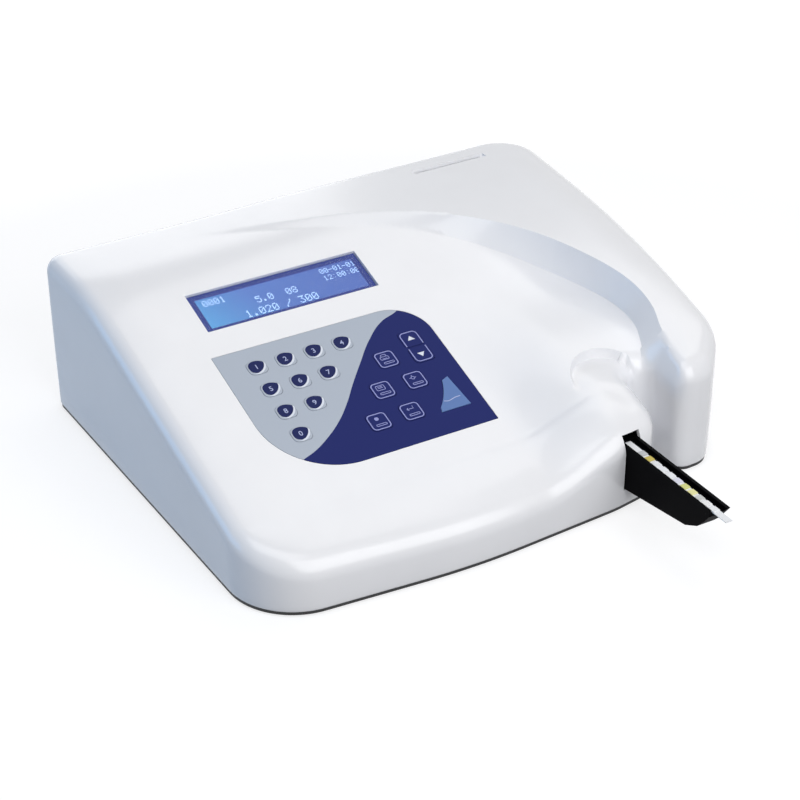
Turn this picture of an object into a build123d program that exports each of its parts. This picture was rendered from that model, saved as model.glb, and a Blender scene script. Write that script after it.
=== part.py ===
"""Bench-top urine strip analyzer: white casing, sloped panel with display and keypad,
sliding strip tray in a rounded nose, thermal printer and rear sockets.

Millimetres. While it is built, x runs to the right from the left side, y runs backwards
with the rear wall at 0, and z runs up from the table. At the end every piece is moved so
that the origin lies under the middle of the whole, on the table.
"""
from build123d import *
from build123d.topology import SkipClean
import math
import os

# ---------------------------------------------------------------- driving dimensions
# Casing
CASE_WIDTH = 388.0          # left side to the widest place on the right
CASE_DEPTH = 330.0          # rear wall to the most forward place of the front
DECK_HEIGHT = 120.0         # flat deck behind the panel
PANEL_SLOPE = 0.321         # how much the panel falls per millimetre to the front
PANEL_HEIGHT = 143.4        # where the panel's plane would meet the rear wall
WALL = 2.8                  # casing wall
SKIRT_HEIGHT = 3.2          # lower edge of the casing above the table
REAR_LEFT_R = 12.0
REAR_RIGHT_R = 45.0
FRONT_LEFT_R = 48.0
SIDE_ROLL = 15.0            # rounding along the left top edge
FRONT_ROLL = 18.0           # rounding along the front top edge
REAR_ROLL = 12.0            # rounding along the rear top edge
BEND_R = 90.0               # soft bend between deck and panel
WING_ROLL = 9.0             # rounding along the raised wing
WING_FALL = 6.6e-4          # how fast the wing's top falls towards the front
WING_RISE = 4.0             # how much the wing stands above the deck

# Nose and strip slot
NOSE_X = CASE_WIDTH - 114.0              # middle of the nose and of the tray
NOSE_R = 26.5
NOSE_Y = -292.0
MOUND_RISE = 18.0           # how far the casing swells up around the nose
DISH_R = 27.0               # round recess on top of the nose
DISH_DEPTH = 7.0
SLOT_WIDTH = 14.0
SLOT_TOP = 55.5
VALLEY_WIDTH = 29.5         # hollow between nose and wing
VALLEY_Y = -268.0

# Display
WINDOW_LENGTH = 130.0
WINDOW_HEIGHT = 36.6
WINDOW_U = 128.2            # middle of the window along the panel
WINDOW_V = -119.0
WINDOW_DEPTH = 2.0          # the window lies this far below the panel
WINDOW_THICK = 1.5

# Keypad
PAD_LENGTH = 152.3
PAD_HEIGHT = 115.8
PAD_U = 130.65
PAD_V = -217.9
PAD_CORNER_R = 28.0
PAD_CURVE_R = 52.0
OVERLAY_THICK = 1.2
MEMBRANE_THICK = 0.4
KEY_PITCH = 21.2
KEY_ROW_PITCH = 21.0
KEY_LENGTH = 13.5
KEY_HEIGHT = 12.0
KEY_THICK = 0.9
KEY_PROUD = 0.25
KEY_GAP = 0.3
FUNCTION_KEY = 15.0

# Strip tray and its drive
TRAY_WIDTH = 13.2
TRAY_TOP = 50.5
TRAY_FRONT_Y = -415.0
TRAY_REAR_Y = -165.0
TRAY_WEDGE_Y = -318.0       # where the deep front part of the tray begins
TRAY_WEDGE_BOTTOM = 16.5
TRAY_BAR_BOTTOM = 34.0
TRAY_TRAVEL = 95.0
STRIP_WIDTH = 5.0
STRIP_LENGTH = 108.0
STRIP_THICK = 0.5
STRIP_TIP_Y = -426.0
PAD_COUNT = 11
PAD_PITCH = 7.6
PAD_SIDE = 5.0
RACK_MODULE = 1.0
PINION_TEETH = 14
PINION_Y = -200.0
RACK_DEPTH = 3.0            # body of the rack behind its teeth
RACK_HEIGHT = 6.0
BACKLASH = 0.3
MESH_GAP = 0.15             # how much wider than pitch to pitch two gears stand

# Base
PLATE_THICK = 3.0
PLATE_BOTTOM = 1.6
PLATE_GAP = 0.4
FOOT_R = 8.0
FOOT_RECESS = 1.0
SCREW_R = 1.5
SCREW_HEAD_R = 2.9
BOSS_R = 4.0
BOARD_THICK = 1.6
BOARD_LIFT = 6.0

# Printer
PAPER_WIDTH = 57.0
ROLL_R = 18.0
CORE_R = 6.0
SLOT_LENGTH = 62.0
SLOT_GAP = 5.0
PRINTER_X = CASE_WIDTH - 74.0
PRINTER_SLOT_Y = -24.0
PLATEN_R = 5.0
GEAR_MODULE = 0.8
PLATEN_TEETH = 20
MOTOR_TEETH = 12
DOOR_WIDTH = 61.0
DOOR_HEIGHT = 62.0
DOOR_THICK = 2.8
HINGE_R = 1.5

# Rear sockets
REAR_OPENING_X = 40.0
REAR_OPENING_WIDTH = 150.0
REAR_OPENING_Z = 16.0
REAR_OPENING_HEIGHT = 42.0

# Fits
RUNNING = 0.05              # radial clearance of a shaft in its bore
SLIDING = 0.3               # clearance each side of a sliding piece
SEAT = 0.02                 # gap between pieces that rest on each other

# ---------------------------------------------------------------- shared places
PLATE_TOP = PLATE_BOTTOM + PLATE_THICK
PANEL = Plane(origin=(0, 0, PANEL_HEIGHT), x_dir=(1, 0, 0), z_dir=(0, -PANEL_SLOPE, 1))
BEND_Y = (DECK_HEIGHT - PANEL_HEIGHT) / PANEL_SLOPE
NOSE_RIGHT = NOSE_X + NOSE_R
WING_LEFT = NOSE_RIGHT + VALLEY_WIDTH
MOUND_X = NOSE_X - 69.0         # where the swelling starts
WING_X = NOSE_X - 134.0         # where the sweeping line starts
ROOM = 500.0                # larger than the whole analyzer
ROLL_MARGIN = 0.3           # the rolled edges start this far outside the walls
FRONT_MARGIN = 2.5          # and this far in front of the bowed front

pieces = {}


def panel_z(y):
    """Height of the panel's plane."""
    return PANEL_HEIGHT + PANEL_SLOPE * y


def smooth_step(t):
    t = max(0.0, min(1.0, t))
    return t * t * (3 - 2 * t)


def box(x0, x1, y0, y1, z0, z1):
    """A block between two corners."""
    return Pos((x0 + x1) / 2, (y0 + y1) / 2, (z0 + z1) / 2) * Box(x1 - x0, y1 - y0, z1 - z0)


def rod(radius, x, y, z, length, axis="Z"):
    """A cylinder that starts at a point and runs along a positive axis."""
    turn = {"Z": Rot(0, 0, 0), "X": Rot(0, 90, 0), "Y": Rot(-90, 0, 0)}[axis]
    return Pos(x, y, z) * turn * Pos(0, 0, length / 2) * Cylinder(radius, length)


def on_panel(u, v, depth=0.0):
    """A place on the panel: u to the right, v up the slope, depth below the surface."""
    return PANEL.location * Pos(u, v, -depth)


# ---------------------------------------------------------------- casing
def casing_outline(inset=0.0):
    """Plan of the casing, with the nose and the wing at the front right."""
    front = -CASE_DEPTH
    corners = [
        ((0, 0), REAR_LEFT_R),
        ((CASE_WIDTH + 2, 0), REAR_RIGHT_R),
        ((CASE_WIDTH - 8, -150), 400),
        ((CASE_WIDTH - 27, front + 24), 12),
        ((WING_LEFT + 1, front + 24), 12),
        ((WING_LEFT, VALLEY_Y), VALLEY_WIDTH / 2 - 0.35),
        ((NOSE_RIGHT, VALLEY_Y), VALLEY_WIDTH / 2 - 0.35),
        ((NOSE_RIGHT, front + 13), 22),
        ((NOSE_X - 12, front + 6), 120),
        ((150, front - 2), 500),
        ((0, front + 10), FRONT_LEFT_R),
    ]
    face = make_face(Polyline(*[point for point, _ in corners], close=True))
    for point, radius in corners:
        corner = face.vertices().sort_by_distance(Vector(*point, 0))[0]
        face = fillet(corner, radius).face()
    if inset:
        face = offset(face, -inset).face()
    return face


def slope_block(drop):
    """Everything below the deck and the panel, with rolled front and rear edges."""
    deck = DECK_HEIGHT - drop
    rear = ROLL_MARGIN - drop
    front = -CASE_DEPTH - FRONT_MARGIN + drop
    front_z = panel_z(front) - drop
    profile = make_face(Polyline(
        (rear, -20), (rear, deck), (BEND_Y, deck), (front, front_z), (front, -20), close=True))
    for y, z, radius in ((rear, deck, REAR_ROLL - drop), (BEND_Y, deck, BEND_R),
                         (front, front_z, FRONT_ROLL - drop)):
        corner = profile.vertices().sort_by_distance(Vector(y, z, 0))[0]
        profile = fillet(corner, radius).face()
    upright = Plane(origin=(-20, 0, 0), x_dir=(0, 1, 0), z_dir=(1, 0, 0)) * profile
    return extrude(upright, amount=CASE_WIDTH + 60) - edge_bevels(drop)


def edge_bevels(drop):
    """What a bevel takes off the left top edge, along the deck and along the panel."""
    size = (SIDE_ROLL - drop) * 0.59
    cutter = Rot(0, 45, 0) * Box(size * 1.4142, 3 * ROOM, size * 1.4142)
    deck_cut = Pos(drop - ROLL_MARGIN, 0, DECK_HEIGHT - drop) * cutter
    slope_cut = PANEL.location * Pos(drop - ROLL_MARGIN, 0, -drop) * cutter
    return [deck_cut, slope_cut]


def mound_height(x, y):
    """The soft swelling of the panel around the nose."""
    side = smooth_step((x - MOUND_X) / 70)
    forward = smooth_step((-y - 150) / 120)
    fade = 3 * (1 - smooth_step((x - MOUND_X) / 25)) + 3 * (1 - smooth_step((-y - 150) / 25))
    return panel_z(y) + MOUND_RISE * side * forward - fade


def wing_height(x, y):
    """The raised deck and wing: flat at the rear, falling in a curve to the front."""
    rise = WING_RISE * smooth_step((x - WING_X) / 120) - WING_RISE / 2
    return DECK_HEIGHT + rise - WING_FALL * max(0, -y - 60) ** 2


def under_surface(height, drop):
    """A solid that fills the space under a height formula."""
    columns = 20
    rows = 18
    grid = []
    for i in range(columns):
        x = -20 + (CASE_WIDTH + 42) * i / (columns - 1)
        line = []
        for j in range(rows):
            y = -CASE_DEPTH - 15 + (CASE_DEPTH + 35) * j / (rows - 1)
            line.append(Vector(x, y, height(x, y) - drop))
        grid.append(line)
    surface = Face.make_surface_from_array_of_points(grid, tol=0.1)
    return extrude(surface, amount=ROOM, dir=(0, 0, -1))


def wing_region(inset=0.0):
    """Plan of the raised part, bounded by the sweeping line that ends at the nose."""
    sweep = [(WING_X + x, y) for x, y in (
        (0, -40), (30, -51), (88, -70), (150, -118), (188, -181), (201, -228),
        (196, -264), (184, -285))]
    front = -CASE_DEPTH - 15
    region = make_face(Curve() + [
        Spline(*sweep),
        Polyline(sweep[-1], (WING_X + 172, front), (ROOM, front), (ROOM, 20), (WING_X, 20),
                 sweep[0]),
    ])
    if inset:
        # the hollow under the wing starts where the wing already stands clear of the deck
        region = Pos(inset, -0.6 * inset, 0) * region & Pos(WING_X + 90 + ROOM / 2, 0, 0) * Rectangle(
            ROOM, 2 * ROOM)
    return region


def casing_blocks(inset, drop):
    """The three solids that make up the casing, drawn in by inset and lowered by drop."""
    tall = extrude(Pos(0, 0, SKIRT_HEIGHT - inset) * casing_outline(inset), amount=ROOM)
    main = tall & slope_block(drop)
    mound = tall & box(200, CASE_WIDTH + 5, -CASE_DEPTH - 5, -140, 0, 200) & \
        under_surface(mound_height, drop)
    wing = tall & under_surface(wing_height, drop)
    if not drop:
        rim = [edge for edge in wing.edges() if edge.bounding_box().min.Z > 25
               and edge.bounding_box().size.X + edge.bounding_box().size.Y > 0.1]
        wing = fillet(rim, WING_ROLL)
    wing = wing & extrude(wing_region(inset), amount=ROOM)
    return main, mound, wing


def pad_outline(grow=0.0):
    """Outline of the keypad field, drawn on the panel."""
    half_u = PAD_LENGTH / 2 + grow
    half_v = PAD_HEIGHT / 2 + grow
    face = make_face(Polyline((-half_u, -half_v), (half_u, -half_v), (half_u, half_v),
                              (-half_u, half_v), close=True))
    for u, v, radius in ((half_u, half_v, PAD_CORNER_R + grow),
                         (-half_u, -half_v, PAD_CURVE_R + grow)):
        corner = face.vertices().sort_by_distance(Vector(u, v, 0))[0]
        face = fillet(corner, radius).face()
    return face


BOSS_PLACES = [(16, -20), (16, -262), (228, -300), (366, -70)]


def top_cover():
    main, mound, wing = casing_blocks(0, 0)
    outer = main + mound + wing - dish_cut(0)
    low, under_mound, under_wing = casing_blocks(WALL, WALL)
    shell = outer - low - (under_mound - dish_cut(WALL)) - under_wing
    shell += [rod(BOSS_R, x, y, PLATE_TOP + SEAT, 200) & outer for x, y in BOSS_PLACES]
    recess = OVERLAY_THICK + MEMBRANE_THICK
    cuts = [
        # display window: a step for the window and an opening for the glass below it
        on_panel(WINDOW_U, WINDOW_V) * Box(WINDOW_LENGTH, WINDOW_HEIGHT, 2 * WINDOW_DEPTH),
        on_panel(WINDOW_U, WINDOW_V) * Box(WINDOW_LENGTH - 6, WINDOW_HEIGHT - 4, 30),
        # keypad recess, and a slot for its flat lead
        on_panel(PAD_U, PAD_V, recess) * extrude(pad_outline(KEY_GAP), amount=recess + 8),
        on_panel(PAD_U + 20, PAD_V + PAD_HEIGHT / 2 - 6, 6) * Box(30, 4, 14),
        # strip slot through the nose, open at its lower edge
        box(NOSE_X - SLOT_WIDTH / 2, NOSE_X + SLOT_WIDTH / 2,
            -CASE_DEPTH - 10, NOSE_Y + 6, 0, SLOT_TOP),
        # paper slot in the deck, paper door and socket opening in the rear wall
        box(PRINTER_X - SLOT_LENGTH / 2, PRINTER_X + SLOT_LENGTH / 2,
            PRINTER_SLOT_Y - SLOT_GAP / 2, PRINTER_SLOT_Y + SLOT_GAP / 2, 105, 140),
        box(DOOR_X0 - SLIDING, DOOR_X1 + SLIDING, -WALL - 3, 5,
            DOOR_Z0 - SLIDING, DOOR_Z1 + SLIDING),
        rod(HINGE_R / 2 + SEAT, DOOR_X0 - 2, HINGE_Y, HINGE_Z, DOOR_WIDTH + 4, "X"),
        box(REAR_OPENING_X, REAR_OPENING_X + REAR_OPENING_WIDTH, -WALL - 3, 5,
            REAR_OPENING_Z, REAR_OPENING_Z + REAR_OPENING_HEIGHT),
    ]
    cuts += [rod(SCREW_R + SEAT, x, y, PLATE_TOP - 1, 14) for x, y in BOSS_PLACES]
    for cut in cuts:
        shell -= cut
    return shell


def dish_cut(grow):
    """Round recess on the nose, deeper at the rear than at the front, and widened by grow."""
    x, y = NOSE_X + 8, NOSE_Y + 16
    floor = mound_height(x, y) - DISH_DEPTH / 2 - grow
    return Pos(x, y, floor) * Rot(-12, 8, 0) * Pos(0, 0, 20) * Cylinder(DISH_R + grow, 40)


DOOR_X0 = PRINTER_X - DOOR_WIDTH / 2
DOOR_X1 = DOOR_X0 + DOOR_WIDTH
DOOR_Z0 = 26.0
DOOR_Z1 = DOOR_Z0 + DOOR_HEIGHT


# ---------------------------------------------------------------- base
def base_plate():
    """Black bottom plate with foot recesses, screw holes and board pillars."""
    plate = extrude(Pos(0, 0, PLATE_BOTTOM) * casing_outline(WALL + PLATE_GAP),
                    amount=PLATE_THICK)
    for x, y in BOSS_PLACES:
        plate -= rod(SCREW_R + RUNNING, x, y, 0, 20)
        plate -= rod(SCREW_HEAD_R + SLIDING, x, y, 0, PLATE_BOTTOM + 1.4)
    for x, y in FOOT_PLACES:
        plate -= rod(FOOT_R + RUNNING, x, y, 0, PLATE_BOTTOM + FOOT_RECESS)
    for x, y in BOARD_SCREWS:
        plate += rod(3, x, y, PLATE_TOP, BOARD_LIFT)
        plate -= rod(1.0, x, y, PLATE_TOP + 1, BOARD_LIFT)
    return plate


FOOT_PLACES = [(34, -34), (34, -280), (CASE_WIDTH - 44, -40),
               (CASE_WIDTH - 42, -288)]
BOARD_X0, BOARD_X1 = 26.0, 206.0
BOARD_Y0, BOARD_Y1 = -232.0, -100.0
BOARD_Z = PLATE_TOP + BOARD_LIFT
BOARD_SCREWS = [(x, y) for x in (BOARD_X0 + 6, BOARD_X1 - 6)
                for y in (BOARD_Y0 + 6, BOARD_Y1 - 6)]


def rubber_feet():
    return Compound([rod(FOOT_R, x, y, 0, PLATE_BOTTOM + FOOT_RECESS - SEAT).solid()
                     for x, y in FOOT_PLACES])


def screw(x, y, z, radius, head, length):
    """A pan-head screw driven upwards, its head at the bottom."""
    body = rod(head, x, y, z - 1.4, 1.4) + rod(radius, x, y, z, length)
    return (body - box(x - head, x + head, y - 0.4, y + 0.4, z - 2, z - 0.9)).solid()


def cover_screws():
    return Compound([screw(x, y, PLATE_BOTTOM + 1.4 - SEAT, SCREW_R, SCREW_HEAD_R, 10)
                     for x, y in BOSS_PLACES])


# ---------------------------------------------------------------- display
def display_window():
    return on_panel(WINDOW_U, WINDOW_V, WINDOW_DEPTH - WINDOW_THICK / 2 - SEAT) * Box(
        WINDOW_LENGTH - 2 * SLIDING, WINDOW_HEIGHT - 2 * SLIDING, WINDOW_THICK)


DISPLAY_THICK = 6.0
DISPLAY_TOP = WINDOW_DEPTH + 0.2


def display_glass():
    """The liquid crystal glass, which fills the casing's opening under the window."""
    return on_panel(WINDOW_U, WINDOW_V, DISPLAY_TOP + DISPLAY_THICK / 2) * Box(
        WINDOW_LENGTH - 8, WINDOW_HEIGHT - 6, DISPLAY_THICK)


def display_board():
    """Circuit board behind the glass, with four pillars up to the casing."""
    depth = DISPLAY_TOP + DISPLAY_THICK + BOARD_THICK / 2
    half_u, half_v = WINDOW_LENGTH / 2 + 6, WINDOW_HEIGHT / 2 + 9
    board = on_panel(WINDOW_U, WINDOW_V, depth) * Box(2 * half_u, 2 * half_v, BOARD_THICK)
    pillar = DISPLAY_TOP + DISPLAY_THICK - WALL - SLIDING - 0.6
    for u in (-1, 1):
        for v in (-1, 1):
            board += on_panel(WINDOW_U + u * (half_u - 3), WINDOW_V + v * (half_v - 3),
                              depth - BOARD_THICK / 2 - pillar / 2) * Cylinder(2, pillar)
    return board


# ---------------------------------------------------------------- keypad
DIGIT_U = PAD_U - PAD_LENGTH / 2 + 24.4
DIGIT_V = PAD_V + PAD_HEIGHT / 2 - 18.0
DIGITS = {"1": (0, 0), "2": (1, 0), "3": (2, 0), "4": (3, 0), "5": (0, 1), "6": (1, 1),
          "7": (2, 1), "8": (0, 2), "9": (1, 2), "0": (0, 3)}
FUNCTION_U = DIGIT_U + 84.3
FUNCTION_V = DIGIT_V - 24.0
FUNCTION_STEP = (-16.0, -23.9)
FUNCTION_OFFSET = (8.9, -23.6)


def digit_place(name):
    column, row = DIGITS[name]
    return DIGIT_U + column * KEY_PITCH, DIGIT_V - row * KEY_ROW_PITCH


def function_place(column, row):
    """Function keys stand in two columns that lean to the left going down."""
    u = FUNCTION_U + column * FUNCTION_OFFSET[0] + row * FUNCTION_STEP[0]
    v = FUNCTION_V + column * FUNCTION_OFFSET[1] + row * FUNCTION_STEP[1]
    return u, v


FUNCTIONS = {"key_print": (0, 0), "key_menu": (0, 1), "key_line": (0, 2),
             "key_clear": (1, 0), "key_enter": (1, 1)}
ARROW_U, ARROW_V = FUNCTION_U + 25.0, FUNCTION_V + 3.7
START_U, START_V = ARROW_U - 1.0, ARROW_V - 47.0


def rounded(length, height, radius):
    return RectangleRounded(length, height, radius)


def start_shape(shrink=0.0):
    """The wedge-shaped start key, pointed at the top and concave on its left."""
    top, side, foot = 16.0 - shrink, 9.5 - shrink, -12.5 + shrink
    edge = Curve() + [
        Line((7.0 - shrink, top - 1), (side, foot)),
        Line((side, foot), (-13.0 + shrink, foot)),
        Line((-13.0 + shrink, foot), (-11.5 + shrink, foot + 4)),
        ThreePointArc((-11.5 + shrink, foot + 4), (-3.5 + shrink, 2), (1.5 + shrink, top - 3)),
        Line((1.5 + shrink, top - 3), (7.0 - shrink, top - 1)),
    ]
    return make_face(edge)


def key_shapes():
    """Name, place and outline function of every key; the argument widens the outline."""
    shapes = {}
    for name in DIGITS:
        shapes["key_" + name] = (digit_place(name),
                                 lambda g: rounded(KEY_LENGTH + 2 * g, KEY_HEIGHT + 2 * g, 4 + g))
    for name, cell in FUNCTIONS.items():
        shapes[name] = (function_place(*cell),
                        lambda g: rounded(FUNCTION_KEY + 2 * g, FUNCTION_KEY + 2 * g, 3 + g))
    for name, side in (("key_up", 1), ("key_down", -1)):
        shapes[name] = ((ARROW_U, ARROW_V + side * 7.6),
                        lambda g: rounded(FUNCTION_KEY + 2 * g, 14.2 + 2 * g, 3 + g))
    shapes["key_start"] = ((START_U, START_V), lambda g: start_shape(-g))
    return shapes


KEYS = key_shapes()


def keypad_overlay():
    """Printed front film of the keypad, with an opening for each key."""
    film = on_panel(PAD_U, PAD_V, OVERLAY_THICK) * extrude(pad_outline(), amount=OVERLAY_THICK)
    for (u, v), shape in KEYS.values():
        film -= on_panel(u, v, OVERLAY_THICK + 1) * extrude(shape(KEY_GAP / 2), amount=4)
    return film


def keypad_membrane():
    """Switch layer under the film."""
    depth = OVERLAY_THICK + MEMBRANE_THICK - SEAT
    return on_panel(PAD_U, PAD_V, depth) * extrude(pad_outline(-0.5),
                                                   amount=MEMBRANE_THICK - 2 * SEAT)


def key(name):
    (u, v), shape = KEYS[name]
    return on_panel(u, v, KEY_THICK - KEY_PROUD) * extrude(shape(-KEY_GAP / 2), amount=KEY_THICK)


# ---------------------------------------------------------------- strip tray
TRAY_X0 = NOSE_X - TRAY_WIDTH / 2
TRAY_X1 = NOSE_X + TRAY_WIDTH / 2
RACK_Z0 = TRAY_BAR_BOTTOM + 1.0
PINION_R = RACK_MODULE * PINION_TEETH / 2
PINION_X = TRAY_X1 + RACK_DEPTH + RACK_MODULE + PINION_R + MESH_GAP
RACK_PITCH = math.pi * RACK_MODULE
STRIP_X = TRAY_X0 + 1.4 + STRIP_WIDTH / 2
STRIP_Z = TRAY_TOP - 1.4


def strip_tray():
    """Long black slide: a bar inside the casing and a deep wedge in front."""
    front = TRAY_FRONT_Y
    side = make_face(Polyline(
        (TRAY_REAR_Y, TRAY_BAR_BOTTOM), (TRAY_REAR_Y, TRAY_TOP), (front, TRAY_TOP),
        (front + 10, TRAY_TOP - 13), (front + 15, TRAY_TOP - 18),
        (front + 27, TRAY_WEDGE_BOTTOM + 10), (TRAY_WEDGE_Y, TRAY_WEDGE_BOTTOM),
        (TRAY_WEDGE_Y, TRAY_BAR_BOTTOM), close=True))
    upright = Plane(origin=(TRAY_X0, 0, 0), x_dir=(0, 1, 0), z_dir=(1, 0, 0)) * side
    tray = extrude(upright, amount=TRAY_WIDTH)
    # seat of the strip, with a deeper groove beside it, both open at the front
    seat = STRIP_TIP_Y + STRIP_LENGTH + SLIDING
    tray -= box(STRIP_X - STRIP_WIDTH / 2 - SLIDING, STRIP_X + STRIP_WIDTH / 2 + SLIDING,
                front - 5, seat, STRIP_Z, TRAY_TOP + 5)
    tray -= box(STRIP_X + STRIP_WIDTH / 2, TRAY_X1 - 2.4, front - 5, seat,
                STRIP_Z - 1.6, TRAY_TOP + 5)
    tray -= box(TRAY_X0 - 1, STRIP_X, front - 5, front + 4, TRAY_TOP - 6, TRAY_TOP + 5)
    # flag that enters the home sensor
    tray += box(NOSE_X - 0.6, NOSE_X + 0.6, TRAY_REAR_Y, TRAY_REAR_Y + 8,
                TRAY_BAR_BOTTOM + 4, TRAY_BAR_BOTTOM + 12)
    return tray


def test_strip():
    return box(STRIP_X - STRIP_WIDTH / 2, STRIP_X + STRIP_WIDTH / 2, STRIP_TIP_Y,
               STRIP_TIP_Y + STRIP_LENGTH, STRIP_Z + SEAT, STRIP_Z + SEAT + STRIP_THICK)


def strip_pads():
    """Reagent pads, evenly spaced along the strip."""
    first = STRIP_TIP_Y + 12.5
    low = STRIP_Z + 2 * SEAT + STRIP_THICK
    half = STRIP_WIDTH / 2 - 0.1
    return Compound([
        box(STRIP_X - half, STRIP_X + half, first + i * PAD_PITCH,
            first + i * PAD_PITCH + PAD_SIDE, low, low + 0.7).solid()
        for i in range(PAD_COUNT)])


def rack_tooth(y):
    """One straight-sided tooth that points to the right."""
    root, tip = TRAY_X1 + RACK_DEPTH - 0.25 * RACK_MODULE, TRAY_X1 + RACK_DEPTH + 2 * RACK_MODULE
    flank = math.tan(math.radians(20))
    pitch_x = tip - RACK_MODULE
    half = RACK_PITCH / 4 - BACKLASH / 2
    wide, narrow = half + (pitch_x - root) * flank, half - (tip - pitch_x) * flank
    tooth = make_face(Polyline((root, y - wide), (tip, y - narrow), (tip, y + narrow),
                               (root, y + wide), close=True))
    return extrude(Pos(0, 0, RACK_Z0) * tooth, amount=RACK_HEIGHT)


def tray_rack():
    """Rack on the right side of the bar, long enough for the whole travel."""
    length = TRAY_TRAVEL + 4 * RACK_PITCH
    rear = PINION_Y + 2.25 * RACK_PITCH
    rack = box(TRAY_X1 + SEAT, TRAY_X1 + RACK_DEPTH, rear - length, rear,
               RACK_Z0, RACK_Z0 + RACK_HEIGHT)
    count = int(length / RACK_PITCH)
    teeth = [rack_tooth(PINION_Y + RACK_PITCH * (1.5 - i)) for i in range(count)]
    return rack + teeth


def spur_gear(module, teeth, width, bore, phase=0.0):
    """A gear with straight-flanked teeth about the Z axis."""
    pitch = module * teeth / 2
    root, tip = pitch - 1.2 * module, pitch + 0.95 * module
    gear = Cylinder(root, width)
    half = math.pi / (2 * teeth) - BACKLASH / (4 * pitch)
    flank = math.tan(math.radians(20))
    for i in range(teeth):
        angle = phase + 360 * i / teeth
        points = []
        for radius, sign in ((root - 0.3, -1), (tip, -1), (tip, 1), (root - 0.3, 1)):
            offset_y = pitch * half + (pitch - radius) * flank
            points.append((radius, sign * max(0.15 * module, offset_y)))
        tooth = make_face(Polyline(*points, close=True))
        gear += Rot(0, 0, angle) * Pos(0, 0, -width / 2) * extrude(tooth, amount=width)
    return gear - Cylinder(bore, width + 2)


def drive_pinion():
    return Pos(PINION_X, PINION_Y, RACK_Z0 + RACK_HEIGHT / 2) * spur_gear(
        RACK_MODULE, PINION_TEETH, RACK_HEIGHT, MOTOR_SHAFT_R + SEAT, 180)


MOTOR_SHAFT_R = 2.0
MOTOR_R = 13.0
MOTOR_TOP = RACK_Z0 - 5.0


def tray_motor():
    """Stepper motor that stands on the base plate under the pinion."""
    can = rod(MOTOR_R, PINION_X, PINION_Y, PLATE_TOP + SEAT, MOTOR_TOP - PLATE_TOP - SEAT)
    collar = rod(5, PINION_X, PINION_Y, MOTOR_TOP, 1.5)
    return can + collar - rod(MOTOR_SHAFT_R + RUNNING, PINION_X, PINION_Y, PLATE_TOP + 6, 60)


def motor_shaft():
    low = PLATE_TOP + 6.2
    return rod(MOTOR_SHAFT_R, PINION_X, PINION_Y, low, RACK_Z0 + RACK_HEIGHT + 1 - low)


def motor_bracket():
    """Plate over the motor, with a leg on each side down to the base plate."""
    half = MOTOR_R + 5
    low = MOTOR_TOP + SEAT
    plate = box(PINION_X - MOTOR_R + 4, PINION_X + half, PINION_Y - half, PINION_Y + half,
                low, low + 1.4)
    for side in (-1, 1):
        y = PINION_Y + side * (half - 1)
        plate += box(PINION_X - 4, PINION_X + half, y - 1, y + 1, PLATE_TOP + SEAT, low + 1.4)
    return plate - rod(5.2, PINION_X, PINION_Y, low - 1, 5)


GUIDE_Y0, GUIDE_Y1 = -221.0, -62.0


def tray_guide():
    """Channel that carries the bar of the tray: a floor, a tall left wall and two feet."""
    floor_top = TRAY_BAR_BOTTOM - SEAT
    left = TRAY_X0 - SLIDING
    guide = box(left - 3, NOSE_X + 4, GUIDE_Y0, GUIDE_Y1, floor_top - 2.5, floor_top)
    guide += box(left - 3, left, GUIDE_Y0, GUIDE_Y1, PLATE_TOP + SEAT, TRAY_TOP - 4)
    guide += box(left - 13, left, GUIDE_Y0, GUIDE_Y1, PLATE_TOP + SEAT, PLATE_TOP + 3)
    # right wall behind the rack's end position
    guide += box(TRAY_X1 + SLIDING, TRAY_X1 + SLIDING + 2.4, GUIDE_Y1 - 28, GUIDE_Y1,
                 floor_top - 2.5, TRAY_TOP - 4)
    guide += box(NOSE_X, TRAY_X1 + SLIDING + 2.4, GUIDE_Y1 - 28, GUIDE_Y1,
                 floor_top - 2.5, floor_top)
    return guide


SENSOR_Y = TRAY_REAR_Y + TRAY_TRAVEL + 2


def home_sensor():
    """Fork-shaped light barrier on the rear end of the guide."""
    low = TRAY_BAR_BOTTOM
    body = box(NOSE_X - 5, NOSE_X + 5, GUIDE_Y1 - 7, GUIDE_Y1 - 0.5, low, low + 15)
    return body - box(NOSE_X - 1.6, NOSE_X + 1.6, GUIDE_Y1 - 9, GUIDE_Y1 + 1, low + 3, low + 20)


HEAD_Y0, HEAD_Y1 = -222.0, -178.0
HEAD_Z0, HEAD_Z1 = TRAY_TOP + 3.0, TRAY_TOP + 14.5


def optical_head():
    """Housing of the light source and sensors above the strip, with a bore for the lens."""
    head = box(NOSE_X - 16, NOSE_X + 14, HEAD_Y0, HEAD_Y1, HEAD_Z0, HEAD_Z1)
    return head - rod(4 + SEAT, STRIP_X, (HEAD_Y0 + HEAD_Y1) / 2, HEAD_Z0 - 1, 7)


def head_lens():
    return rod(4, STRIP_X, (HEAD_Y0 + HEAD_Y1) / 2, HEAD_Z0 - 0.8, 5)


def head_bracket():
    """Two posts with tabs that carry the head beside the guide."""
    left = NOSE_X - 16
    post = box(left - 12, left - 10, HEAD_Y0 + 10, HEAD_Y1 - 10, PLATE_TOP + SEAT, HEAD_Z0 - SEAT)
    tab = box(left - 12, left + 4, HEAD_Y0 + 10, HEAD_Y1 - 10, HEAD_Z0 - 1.6, HEAD_Z0 - SEAT)
    foot = box(left - 22, left - 10, HEAD_Y0 + 10, HEAD_Y1 - 10, PLATE_TOP + SEAT, PLATE_TOP + 2)
    return post + tab + foot


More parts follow.
